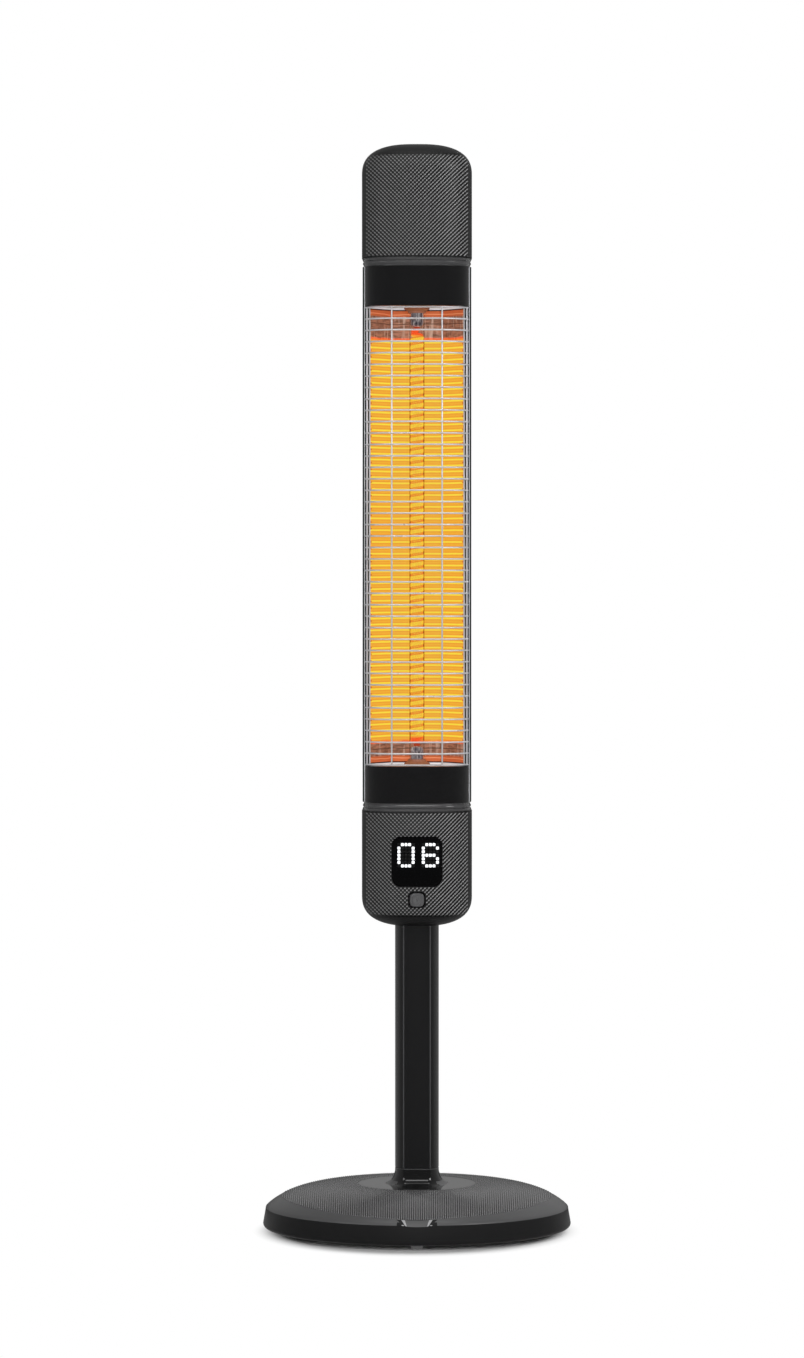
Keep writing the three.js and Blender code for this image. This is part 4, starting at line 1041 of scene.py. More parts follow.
def finish_cap(name, box, apex_up, head, cutters, holes, nodes):
    shell = cap_shell(box, apex_up, head, cutters)
    use_material(shell, 0)
    patch, values = knurl_patch(box, apex_up, head, holes)
    mesh = joined([shell, patch])
    add_relief(mesh, len(shell.vertices), values)
    add_piece(mesh, name, [body_plastic(), knurled_plastic()], nodes, sharp_angle=50)


def inside_lens(x, z):
    """Below 1 inside the lens's window, by share of its size."""
    half = half_of(LENS)[0] + FIT_GAP
    corner = bpy.context.scene.heater_display.corner
    over_x = max(abs(x) - (half - corner), 0)
    over_z = max(abs(z - LENS_MIDDLE) - (half - corner), 0)
    if over_x > 0 and over_z > 0:
        return (math.hypot(over_x, over_z) + half - corner) / half
    return max(abs(x), abs(z - LENS_MIDDLE)) / half


def inside_button(x, z):
    """Below 1 inside the button's hole, by share of its size."""
    sizes = bpy.context.scene.heater_display
    half_x, half_z = BUTTON_HOLE
    power = sizes.button_squareness
    return ((abs(x) / half_x) ** power + (abs(z - BUTTON_MIDDLE) / half_z) ** power) ** (1 / power)


def bottom_cap_cutters(head, display, stand):
    """Cutters for the display's window, the button, the pole and the cable gland."""
    reach = 4 * head.cap_wall
    front = (BOTTOM_CAP[0][1] - OVERRUN, BOTTOM_CAP[0][1] + reach)
    lens_half = half_of(LENS)[0] + FIT_GAP
    window = corner_rectangle(lens_half, lens_half, display.corner)
    button = rounded_outline(*BUTTON_HOLE, display.button_squareness, 64)
    pole = pole_outline(FIT_GAP, stand)
    foot = BOTTOM_CAP[0][2]
    near, far = BOTTOM_CAP[1][1] - reach, BOTTOM_CAP[1][1] + OVERRUN
    gland = [(0, near), (GLAND_HOLE_RADIUS, near), (GLAND_HOLE_RADIUS, far), (0, far)]
    return [
        solid(lambda bm: front_prism(bm, window, *front, LENS_MIDDLE)),
        solid(lambda bm: front_prism(bm, button, *front, BUTTON_MIDDLE)),
        solid(lambda bm: prism(bm, pole, foot - OVERRUN, foot + head.crown_height)),
        solid(lambda bm: lathe(bm, gland, 48, GLAND_MIDDLE, (0, 1, 0))),
    ]


class HEATER_OT_caps(bpy.types.Operator):
    """Makes the knurled top and bottom caps of the head"""
    bl_idname = "heater.caps"
    bl_label = "Knurled caps"

    def execute(self, context):
        head = context.scene.heater_head
        cutters = bottom_cap_cutters(head, context.scene.heater_display, context.scene.heater_stand)
        holes = [inside_lens, inside_button]
        finish_cap("knurled_top_cap", TOP_CAP, True, head, [], [], ["top_cap"])
        finish_cap("knurled_bottom_cap", BOTTOM_CAP, False, head, cutters, holes, ["bottom_cap"])
        return {"FINISHED"}


# Head: casing, panels and rings

def wall_outline(head, rear, edge_depth, thickness):
    half_x, half_y = head_half(head.body_inset)
    outer = outline_arc(half_x, half_y, head.squareness, edge_depth, rear)
    inner = outline_arc(half_x - thickness, half_y - thickness, head.squareness, edge_depth, rear)
    return outer + inner[::-1]


def arc_wall(head, box, rear, edge_depth):
    outline = wall_outline(head, rear, edge_depth, head.panel_wall)
    return solid(lambda bm: prism(bm, outline, box[0][2], box[1][2]))


def seam_beads(head):
    """Bright metal beads where the casing meets the panels."""
    bead = head.bead / 2
    half_x, half_y = head_half(head.body_inset)
    bm = bmesh.new()
    for side in (-1, 1):
        x = side * outline_reach(head.seam_depth, half_y, half_x, head.squareness)
        upright_wire(bm, x, -head.seam_depth, CASING[0][2] + FIT_GAP, CASING[1][2] - FIT_GAP, bead)
    beads = to_mesh(bm)
    use_material(beads, 1)
    return beads


# How deep the upper ring's face lies, from its lower edge up, in shares of the groove depth
GROOVES = (0.55, 1.0, 0.75, 0.27, 0.27, 0.96, 0.33, 0.0, 0.25)


def trim_ring(name, box, head, nodes, upper):
    """A ring with two grooves, the lower one's the other way up, and a skirt inside its neighbours."""
    skirt = 0.007
    low = box[0][2] + skirt
    high = box[1][2] - skirt
    half_x, half_y = head_half(head.body_inset)
    depths = GROOVES if upper else GROOVES[::-1]
    profile = [(i / (len(depths) - 1), depth) for i, depth in enumerate(depths)]
    skirt_inset = head.panel_wall + FIT_GAP

    def ring(inset, z):
        return [(x, y, z) for x, y in rounded_outline(half_x - inset, half_y - inset, head.squareness)]

    rings = [ring(skirt_inset, box[0][2]), ring(skirt_inset, low + FIT_GAP / 2)]
    first = low + FIT_GAP / 2
    height = high - low - FIT_GAP
    rings += [ring(head.groove_depth * depth, first + height * share) for share, depth in profile]
    rings += [ring(skirt_inset, high - FIT_GAP / 2), ring(skirt_inset, box[1][2])]
    hollow = skirt_inset + head.panel_wall
    outer = solid(lambda bm: loft(bm, rings))
    bore = [ring(hollow, box[0][2] - OVERRUN), ring(hollow, box[1][2] + OVERRUN)]
    inner = solid(lambda bm: loft(bm, bore))
    add_piece(carved(outer, [inner]), name, [ring_black()], nodes, sharp_angle=50)


class HEATER_OT_casing(bpy.types.Operator):
    """Makes the rear casing, the two glossy panels and the grooved rings"""
    bl_idname = "heater.casing"
    bl_label = "Casing and panels"

    def execute(self, context):
        head = context.scene.heater_head
        shell = arc_wall(head, CASING, True, head.seam_depth)
        use_material(shell, 0)
        casing = joined([shell, seam_beads(head)])
        dark = shade_of(colours().body, 0.5)
        paint = grained("casing paint", dark, 0.45, grain_scale=4200, relief=0.00002, gloss=0.06)
        bright = grained("casing edge", shade_of(colours().sheet, 1.1), 0.35, 0.0, 1500, 0.00001)
        piece = add_piece(casing, "casing_shell", [paint, bright], ["rear_casing"])
        soften(piece)
        for name, box, node in (
            ("upper_gloss_panel", UPPER_PANEL, "upper_front_panel"),
            ("lower_gloss_panel", LOWER_PANEL, "lower_front_panel"),
        ):
            panel = arc_wall(head, box, False, head.seam_depth + FIT_GAP)
            soften(add_piece(panel, name, [gloss_black()], [node]))
        trim_ring("upper_grooved_ring", UPPER_RING, head, ["upper_trim_ring"], True)
        trim_ring("lower_grooved_ring", LOWER_RING, head, ["lower_trim_ring"], False)
        return {"FINISHED"}


# Grille

def wire_line(head, chamber, inset):
    """The plan line of a cross wire: flat between the ribs, then bent back to the side rails."""
    half_x, half_y = head_half(inset)
    side_y = head.seam_depth + FIT_GAP + chamber.wire / 2
    bends = (chamber.rib_place + chamber.wire, half_x - chamber.bend_inset)
    right = [Vector((x, -outline_reach(x, half_x, half_y, head.squareness), 0)) for x in bends]
    right.append(Vector((outline_reach(side_y, half_y, half_x, head.squareness), -side_y, 0)))
    return [Vector((-p.x, p.y, 0)) for p in reversed(right)] + right


def rounded_line(points, reach, steps=4):
    """The same line with each corner replaced by a short curve."""
    line = [points[0]]
    for before, corner, after in zip(points, points[1:], points[2:]):
        start = corner + (before - corner).normalized() * reach
        end = corner + (after - corner).normalized() * reach
        for step in range(steps + 1):
            share = step / steps
            line.append(start.lerp(corner, share).lerp(corner.lerp(end, share), share))
    line.append(points[-1])
    return line


def wire_along(bm, line, radius):
    """A round wire along a flat line, closed at its ends."""
    sides = 8
    rings = []
    for i, point in enumerate(line):
        ahead = line[min(i + 1, len(line) - 1)] - line[max(i - 1, 0)]
        across = Vector((0, 0, 1))
        side = ahead.normalized().cross(across)
        rings.append([
            point + radius * (math.cos(a) * side + math.sin(a) * across)
            for a in (FULL_TURN * k / sides for k in range(sides))
        ])
    loft(bm, rings)


def upright_wire(bm, x, y, low, high, radius):
    bead = radius * 0.4
    profile = [(0, low), (radius - bead, low), (radius, low + bead)]
    profile += [(radius, high - bead), (radius - bead, high), (0, high)]
    lathe(bm, profile, 16, (x, y, 0))


class HEATER_OT_grille(bpy.types.Operator):
    """Makes the wire grille in front of the tube"""
    bl_idname = "heater.grille"
    bl_label = "Wire grille"

    def execute(self, context):
        head = context.scene.heater_head
        chamber = context.scene.heater_chamber
        radius = chamber.wire / 2
        weld_overlap = 0.0003
        weld_radius = 1.15 * radius
        line = rounded_line(wire_line(head, chamber, head.body_inset + FIT_GAP / 2 + radius), BEND_REACH)
        low = GRILLE[0][2] + FIT_GAP / 2 + radius
        high = GRILLE[1][2] - FIT_GAP / 2 - radius
        rib_y = line[len(line) // 2].y + 2 * radius - weld_overlap
        bm = bmesh.new()
        for i in range(chamber.wire_count):
            z = low + (high - low) * i / (chamber.wire_count - 1)
            wire_along(bm, [point + Vector((0, 0, z)) for point in line], radius)
            for side in (-1, 1):
                made = bmesh.ops.create_icosphere(bm, subdivisions=1, radius=weld_radius)["verts"]
                bmesh.ops.translate(bm, verts=made, vec=(side * chamber.rib_place, rib_y - radius, z))
        for side in (-1, 1):
            upright_wire(bm, side * chamber.rib_place, rib_y, low, high, radius)
            rail_x = abs(line[0].x) - chamber.rail_inset
            upright_wire(bm, side * rail_x, line[0].y, GRILLE[0][2], GRILLE[1][2], radius)
        mesh = to_mesh(bm)
        add_piece(mesh, "wire_grille", [plated_wire()], ["grille"], sharp_angle=60)
        return {"FINISHED"}


# Heating chamber

# Heights at which each pressed end of the tube starts, has become flat and ends
PINCHED_ENDS = {
    "lower_pinched_end": (0.4655, 0.4585, 0.4480),
    "upper_pinched_end": (0.8680, 0.8750, 0.8860),
}
HOLDER_STEM = 0.017

# Points round half a ribbon's thickness and half its height
RIBBON_SECTION = (
    (0.72, 1.0), (1.0, 0.86), (1.0, 0.45), (1.0, 0.0), (1.0, -0.45), (1.0, -0.86), (0.72, -1.0),
    (-0.72, -1.0), (-1.0, -0.86), (-1.0, -0.45), (-1.0, 0.0), (-1.0, 0.45), (-1.0, 0.86), (-0.72, 1.0),
)


class HEATER_OT_reflector(bpy.types.Operator):
    """Makes the bent reflector with its rolled front edges"""
    bl_idname = "heater.reflector"
    bl_label = "Reflector"

    def execute(self, context):
        chamber = context.scene.heater_chamber
        sheet = chamber.reflector_sheet
        edge_x = REFLECTOR[1][0] - sheet
        front = REFLECTOR[0][1]
        back = REFLECTOR[1][1] - sheet
        flat = chamber.reflector_flat / 2
        section = ((edge_x, front), (flat, back), (-flat, back), (-edge_x, front))
        corners = [Vector((x, y, 0)) for x, y in section]
        line = rounded_line(corners, BEND_REACH, 5)
        bm = bmesh.new()
        rings = [[point + Vector((0, 0, z)) for point in line] for z in (REFLECTOR[0][2], REFLECTOR[1][2])]
        loft(bm, rings, closed=False, start_cap=False, end_cap=False)
        face_towards(bm, FORWARD)
        bmesh.ops.solidify(bm, geom=bm.faces[:], thickness=sheet)
        for side in (-1, 1):
            upright_wire(bm, side * edge_x, front + sheet, REFLECTOR[0][2], REFLECTOR[1][2], sheet)
        mesh = to_mesh(bm)
        for polygon in mesh.polygons:
            on_hem = polygon.center.y < front + 2.2 * sheet
            outside = polygon.normal.y > 0.3 or on_hem
            polygon.material_index = 1 if outside else 0
        hem = grained("reflector hem", shade_of(colours().sheet, 0.9), 0.35, 0.0, 1500, 0.00001)
        add_piece(mesh, "reflector_sheet", [mirror_sheet(), hem], ["reflector"])
        return {"FINISHED"}


def filament_point(turns, chamber, low):
    lead = chamber.lead_turns
    before = min(max(-turns, 0), lead)
    after = min(max(turns - chamber.filament_turns, 0), lead)
    closing = ((before + after) / lead) ** 3
    radius = chamber.filament_radius * (1 + math.cos(math.pi * closing)) / 2
    angle = FULL_TURN * turns
    inner = min(max(turns, 0), chamber.filament_turns)
    z = low + inner * chamber.filament_pitch + chamber.lead_rise * (after - before) / lead
    return Vector((radius * math.cos(angle), TUBE_AXIS[1] + radius * math.sin(angle), z))


def ribbon_ring(turns, chamber, low, rise=0.0):
    probe = 0.01
    lead = chamber.lead_turns
    at_end = turns <= -lead or turns >= chamber.filament_turns + lead
    chord = filament_point(turns + probe, chamber, low) - filament_point(turns - probe, chamber, low)
    along = Vector((0, 0, 1)) if at_end else chord.normalized()
    angle = FULL_TURN * turns
    outward = Vector((math.cos(angle), math.sin(angle), 0))
    outward = (outward - along * outward.dot(along)).normalized()
    across = along.cross(outward)
    centre = filament_point(turns, chamber, low) + Vector((0, 0, rise))
    return [
        centre + outward * side * chamber.ribbon_thickness / 2 + across * edge * chamber.ribbon_height / 2
        for side, edge in RIBBON_SECTION
    ]


def filament_mesh(chamber):
    middle = middle_of(FILAMENT)[2]
    low = middle - chamber.filament_turns * chamber.filament_pitch / 2
    steps_per_turn = 20
    lead_steps = round(chamber.lead_turns * steps_per_turn)
    last = chamber.filament_turns * steps_per_turn + lead_steps
    rings = [ribbon_ring(-chamber.lead_turns, chamber, low, -chamber.ribbon_height)]
    rings += [ribbon_ring(step / steps_per_turn, chamber, low) for step in range(-lead_steps, last + 1)]
    rings.append(ribbon_ring(last / steps_per_turn, chamber, low, chamber.ribbon_height))
    bm = bmesh.new()
    loft(bm, rings)
    bmesh.ops.recalc_face_normals(bm, faces=bm.faces)
    return to_mesh(bm, fix_normals=False)


def holder_profile(face, direction, radius):
    """Flared ceramic foot round the tube's end, from its tip in the chamber to its stem."""
    bore = radius + FIT_GAP
    wire_hole = 0.0023
    tip = -0.0062
    seat = 0.0130
    flare = [
        (0, tip), (0.0006, tip), (0.0009, -0.0054), (0.0016, -0.0040), (0.0040, -0.0028), (0.0048, -0.0022),
        (0.0050, -0.0006), (0.0047, -0.0003), (0.0016, -0.0003), (0.0016, HOLDER_STEM - 0.0002),
        (0.0014, HOLDER_STEM),
    ]
    shape = [(bore + beyond, height) for beyond, height in flare]
    shape += [(wire_hole, HOLDER_STEM), (wire_hole, seat), (bore, seat), (bore, tip)]
    return [(r, face + direction * h) for r, h in shape]


def pinched_end(bore, wide_end, flat_end, tip):
    """The tube's end pressed flat round the terminal: round towards the filament, flat towards the tip."""
    reach = bore - FIT_GAP / 3

    def ring(width, depth, z):
        middle_y = TUBE_AXIS[1]
        return [(x, middle_y + y, z) for x, y in rounded_outline(width, depth, 2, 48)]

    direction = math.copysign(1, tip - wide_end)
    crumple = [1.0, 0.97, 1.0, 0.96, 1.0, 0.94]
    shoulder = (
        (0.5, 0.45, wide_end), (0.86, 0.7, wide_end + direction * 0.0012),
        (0.97, 0.62, (wide_end + flat_end) / 2), (1, 0.38, flat_end),
    )
    rings = [ring(reach * width, reach * depth, z) for width, depth, z in shoulder]
    for i, share in enumerate(crumple):
        z = flat_end + (tip - flat_end) * (i + 1) / len(crumple)
        rings.append(ring(reach * share, reach * (0.38 + 0.08 * (i % 2)), z))
    return solid(lambda bm: loft(bm, rings))


class HEATER_OT_tube(bpy.types.Operator):
    """Makes the quartz tube, its filament and its two ceramic holders"""
    bl_idname = "heater.tube"
    bl_label = "Carbon tube"

    def execute(self, context):
        chamber = context.scene.heater_chamber
        radius = TUBE[1][0]
        inner = radius - chamber.tube_wall
        round_off = chamber.tube_wall / 4
        low, high = TUBE[0][2], TUBE[1][2]
        profile = [
            (inner, low + round_off), (inner + round_off, low), (radius - round_off, low),
            (radius, low + round_off), (radius, high - round_off), (radius - round_off, high),
            (inner + round_off, high), (inner, high - round_off), (inner, low + round_off),
        ]
        tube = solid(lambda bm: lathe(bm, profile, 48, TUBE_AXIS))
        add_piece(tube, "clear_tube", [clear_quartz()], ["quartz_tube"])
        add_piece(
            filament_mesh(chamber), "glowing_filament", [glowing_carbon()], ["carbon_filament"],
            sharp_angle=60,
        )
        pressed = pinched_quartz_with_painted_light()
        for name, heights in PINCHED_ENDS.items():
            add_piece(pinched_end(inner, *heights), name, [pressed])
        stained = colours().ceramic
        ceramic = grained("stained ceramic", stained, 0.42, grain_scale=700, relief=0.0001, tint=0.5)
        for name, box, up, node in (
            ("lower_ceramic_holder", LOWER_HOLDER, -1, "lower_tube_holder"),
            ("upper_ceramic_holder", UPPER_HOLDER, 1, "upper_tube_holder"),
        ):
            face = box[0][2] + HOLDER_STEM if up < 0 else box[1][2] - HOLDER_STEM
            foot = holder_profile(face, up, radius)
            mesh = solid(lambda bm: lathe(bm, foot, 48, TUBE_AXIS))
            add_piece(mesh, name, [ceramic], [node])
        return {"FINISHED"}


# Display and button

ZERO_ROWS = ("01110", "10001", "10001", "10001", "10001", "10001", "01110")
SIX_ROWS = ("01110", "10001", "10000", "11110", "10001", "10001", "01110")


def on_lens(outline, back, share=1.0):
    """An outline laid on the head's curved front round the lens's middle, or a little behind it."""
    half_x, half_y = head_half(FIT_GAP / 2)
    squareness = bpy.context.scene.heater_head.squareness
    return [
        (x * share, back - outline_reach(x * share, half_x, half_y, squareness), LENS_MIDDLE + z * share)
        for x, z in outline
    ]


def glass_mesh(sizes):
    half = half_of(LENS)[0]
    depth = 0.0024
    rim = 0.0006
    outline = corner_rectangle(half, half, sizes.corner - FIT_GAP)
    rings = [on_lens(outline, depth), on_lens(outline, FIT_GAP)]
    rings += [on_lens(outline, 0, share) for share in (1 - rim / half, 0.8, 0.55, 0.3, 0.1)]
    return solid(lambda bm: loft(bm, rings))


def dot_meshes(sizes):
    """One mesh of the dots that are lit and one of those that are not."""
    half_dot = sizes.dot_side / 2
    dot = corner_rectangle(half_dot, half_dot, half_dot / 2, 3)
    dot_front, dot_back = -0.00005, 0.0002
    lit, unlit = bmesh.new(), bmesh.new()
    for centre, rows in ((sizes.left_digit, ZERO_ROWS), (sizes.right_digit, SIX_ROWS)):
        for row, marks in enumerate(rows):
            for column, mark in enumerate(marks):
                x = centre + (column - 2) * sizes.dot_pitch
                z = sizes.top_row - row * sizes.dot_pitch
                outline = [(x + a, z + b) for a, b in dot]
                loft(lit if mark == "1" else unlit, [on_lens(outline, dot_front), on_lens(outline, dot_back)])
    return to_mesh(lit), to_mesh(unlit)


class HEATER_OT_display(bpy.types.Operator):
    """Makes the display lens and its dot-matrix number"""
    bl_idname = "heater.display"
    bl_label = "Display"

    def execute(self, context):
        sizes = context.scene.heater_display
        shade = (0.0010, 0.0010, 0.0012)
        lens = grained("display glass", shade, 0.07, relief=0.0, spread=0.02, tint=0.0, gloss=0.2)
        add_piece(glass_mesh(sizes), "display_glass", [lens], ["display_lens"])
        lit, unlit = dot_meshes(sizes)
        bright = dot_material("lit dots", colours().lit_dot, 1.0)
        dark = dot_material("unlit dots", colours().dark_dot, 0.05)
        add_piece(lit, "lit_dots", [bright])
        add_piece(unlit, "unlit_dots", [dark])
        return {"FINISHED"}


def button_loop(half, y, share, grow):
    """The button's outline at a depth, from a half width and height."""
    power = bpy.context.scene.heater_display.button_squareness
    outline = rounded_outline(half[0] * share + grow, half[1] * share + grow, power, 64)
    return [(x, y, BUTTON_MIDDLE + z) for x, z in outline]


def button_ring_mesh():
    front, back = BEZEL[0][1], BEZEL[1][1]
    flange_reach = BEZEL[1][0] - BUTTON_HOLE[0]
    flange_front = back - 0.0015
    edge = 0.0003
    section = (
        (BUTTON_BORE, back, 0), (BUTTON_BORE, front + edge, 0), (BUTTON_BORE, front, edge),
        (BUTTON_HOLE, front, -FIT_GAP - edge), (BUTTON_HOLE, front + edge, -FIT_GAP),
        (BUTTON_HOLE, flange_front, -FIT_GAP), (BUTTON_HOLE, flange_front, flange_reach),
        (BUTTON_HOLE, back, flange_reach), (BUTTON_BORE, back, 0),
    )
    rings = [button_loop(half, y, 1, grow) for half, y, grow in section]
    return solid(lambda bm: loft(bm, rings, start_cap=False, end_cap=False))


def push_button_mesh():
    """The cap that is pressed: a flange at its rear, a groove round its face and a dimple in the middle."""
    face, rear = BUTTON[0][1], BUTTON[1][1]
    flange = 0.0012
    flange_front = rear - 0.001
    groove = 0.00025
    section = (
        (1, rear, flange), (1, flange_front, flange), (1, flange_front, 0), (1, face + 0.0005, 0),
        (0.97, face + 0.0002, 0), (0.93, face + 0.00003, 0), (0.66, face, 0), (0.64, face + groove, 0),
        (0.60, face + groove, 0), (0.58, face, 0), (0.14, face, 0), (0.11, face + 2 * groove, 0),
        (0.02, face + 2 * groove, 0),
    )
    rings = [button_loop(BUTTON_PAD, y, share, grow) for share, y, grow in section]
    return solid(lambda bm: loft(bm, rings))


class HEATER_OT_button(bpy.types.Operator):
    """Makes the push button and the dark ring round it"""
    bl_idname = "heater.button"
    bl_label = "Push button"

    def execute(self, context):
        dark = grained("ring gloss", colours().gloss, 0.2, gloss=0.45)
        grey = grained("button grey", colours().button, 0.38, grain_scale=2600, relief=0.00002)
        add_piece(button_ring_mesh(), "button_ring", [dark], ["button_bezel"])
        add_piece(push_button_mesh(), "push_button", [grey], ["button_cap"], "power_button")
        return {"FINISHED"}


# Pole and stand

def round_corners(points, reach):
    """Replaces the outline's four sharp corners with two points each, so that they catch the light."""
    count = len(points)
    result = []
    for i, (x, y) in enumerate(points):
        before = Vector(points[i - 1])
        after = Vector(points[(i + 1) % count])
        here = Vector((x, y))
        turn = (here - before).angle(after - here)
        if turn > math.radians(15):
            for other in (before, after):
                run = min(reach, 0.45 * (other - here).length)
                result.append(tuple(here + (other - here).normalized() * run))
        else:
            result.append((x, y))
    return result


class HEATER_OT_pole(bpy.types.Operator):
    """Makes the pole with flat front and round sides"""
    bl_idname = "heater.pole"
    bl_label = "Pole"

    def execute(self, context):
        stand = context.scene.heater_stand
        outer = round_corners(pole_outline(0, stand, 28), 0.0004)
        inner = pole_outline(-stand.pole_wall, stand, 28)
        low, high = POLE[0][2], POLE[1][2]
        shell = solid(lambda bm: prism(bm, outer, low, high))
        hollow = solid(lambda bm: prism(bm, inner, low - OVERRUN, high + OVERRUN))
        tube = carved(shell, [hollow])
        add_piece(tube, "pole_tube", [pole_paint_with_painted_highlights()], ["pole"], sharp_angle=50)
        return {"FINISHED"}


def dome_point(share, stand):
    """Radius and height on the dome, from its rim at share 0 to the flange at share 1."""
    rim_radius = COVER[1][0] - stand.wall_taper
    rim_z = COVER[0][2] + stand.wall_height
    dome_z = rim_z + stand.dome_rise
    control = [
        (rim_radius, rim_z), (rim_radius - stand.shoulder, rim_z + stand.shoulder_rise),
        (rim_radius - stand.swell, dome_z + stand.crest), (stand.flange_radius, dome_z),
    ]
    left = 1 - share
    weights = (left ** 3, 3 * left ** 2 * share, 3 * left * share ** 2, share ** 3)
    radius = sum(w * p[0] for w, p in zip(weights, control))
    height = sum(w * p[1] for w, p in zip(weights, control))
    return radius, height


def dome_height(radius, stand):
    low, high = 0.0, 1.0
    for _ in range(24):
        middle = (low + high) / 2
        if dome_point(middle, stand)[0] > radius:
            low = middle
        else:
            high = middle
    return dome_point(low, stand)[1]


def stand_shell(stand):
    radius = COVER[1][0]
    foot_z = COVER[0][2]
    edge = stand.edge_radius
    wall = 0.003
    below_rim = 0.0034
    lip_height, lip_end_height = 0.0026, 0.0056
    profile = [(0, foot_z)]
    for step in range(7):
        angle = math.pi / 2 * step / 6
        profile.append((radius - edge * (1 - math.sin(angle)), foot_z + edge * (1 - math.cos(angle))))
    top = dome_point(0, stand)
    round_off = stand.rim_radius
    for drop in (below_rim, round_off):
        profile.append((top[0] + drop * stand.wall_taper / stand.wall_height, top[1] - drop))
    profile.append((top[0] - round_off * 0.25, top[1] - round_off * 0.1))
    profile += [dome_point(step / 40, stand) for step in range(2, 41)]
    profile.append((0, top[1] + stand.dome_rise))
    outer = solid(lambda bm: lathe(bm, profile, 192))
    lip = radius - edge - wall
    inner_profile = [
        (0, foot_z - OVERRUN), (lip, foot_z - OVERRUN), (lip, foot_z + lip_height),
        (radius - wall, foot_z + lip_end_height),
    ]
    inner_profile += [(r - wall, z - wall) for r, z in (dome_point(step / 20, stand) for step in range(21))]
    inner_profile.append((0, top[1] + stand.dome_rise - wall))
    inner = solid(lambda bm: lathe(bm, inner_profile, 96))
    return outer, inner


# Half widths of the notch at its inner end and at the wall: floor, flank with the painted highlight and
# opening
NOTCH_INNER = (0.0113, 0.0146, 0.0194)
NOTCH_WALL = (0.0095, 0.0108, 0.0135)

# Half widths within which the notch has its floor's finish and its flank's painted highlight
FLOOR_FINISH = 0.008
FLANK_HIGHLIGHT_REACH = 0.013

# The stand's finishes, by their place in its list of materials
WALL, RIBS, SMOOTH, BORDER, FLANK = range(5)


def notch_cutter(stand):
    """A shallow spout through the rim, with a floor and two flanks that bend once on each side."""
    rim = COVER[1][0] - stand.wall_taper
    rim_z = COVER[0][2] + stand.wall_height
    inner = rim - stand.notch_length
    inner_z = dome_height(inner, stand)
    roof = 0.003
    beyond = 0.004

    def ring(radius, z, halves, depth):
        half_floor, half_step, half_top = halves
        right = [
            (half_floor, -depth), (half_step, -0.62 * depth), (half_top, 0), (2 * half_top - half_step, roof),
        ]
        section = [(-x, rise) for x, rise in reversed(right)] + right
        return [(x, -math.sqrt(radius ** 2 - x ** 2), z + rise) for x, rise in section]

    outer_z = rim_z - (inner_z - rim_z) * beyond / stand.notch_length
    rings = [
        ring(inner, inner_z, NOTCH_INNER, stand.notch_end_depth),
        ring(rim, rim_z, NOTCH_WALL, stand.notch_depth),
        ring(rim + beyond, outer_z, NOTCH_WALL, stand.notch_depth),
    ]
    return solid(lambda bm: loft(bm, rings))


def notch_finish(centre, stand):
    """Which finish a face in the notch has: border on the floor, a flank with a painted highlight, then wall;
    None outside it.
    """
    rim = COVER[1][0] - stand.wall_taper
    radius = math.hypot(centre.x, centre.y)
    away = abs(centre.x)
    if centre.y > 0 or radius < rim - stand.notch_length or away > NOTCH_INNER[2]:
        return None
    if centre.z < COVER[0][2] + stand.wall_height - stand.notch_depth - FIT_GAP:
        return None
    if radius < rim and dome_height(radius, stand) - centre.z < FIT_GAP / 3:
        return None
    if radius > rim:
        return WALL
    if away < FLOOR_FINISH:
        return BORDER
    return FLANK if away < FLANK_HIGHLIGHT_REACH else WALL


def neck_mesh(stand):
    """The neck flares out of the pole's section into the flange."""
    dome_z = COVER[0][2] + stand.wall_height + stand.dome_rise
    rise = COVER[1][2] - dome_z
    corner = 0.0024
    steps = 16
    rings = []
    for step in range(steps + 1):
        angle = math.pi / 2 * step / steps
        flare = stand.neck_flare * (1 - math.sin(angle))
        z = dome_z + (rise - stand.neck_lip) * (1 - math.cos(angle)) if step else dome_z - FIT_GAP
        outline = round_corners(pole_outline(flare, stand, 28), corner)
        rings.append([(x, y, z) for x, y in outline])
    lip = round_corners(pole_outline(-stand.neck_lip, stand, 28), corner)
    rings.append([(x, y, dome_z + rise) for x, y in lip])
    return solid(lambda bm: loft(bm, rings))


def rib_stop(index, count, length):
    """How far along a rib a cross line lies; two lines lie close to each of its ends."""
    close = min(0.0007, length / 6)
    if index <= 2:
        return index * close
    if index >= count - 2:
        return length - (count - index) * close
    return 2 * close + (length - 4 * close) * (index - 2) / (count - 4)


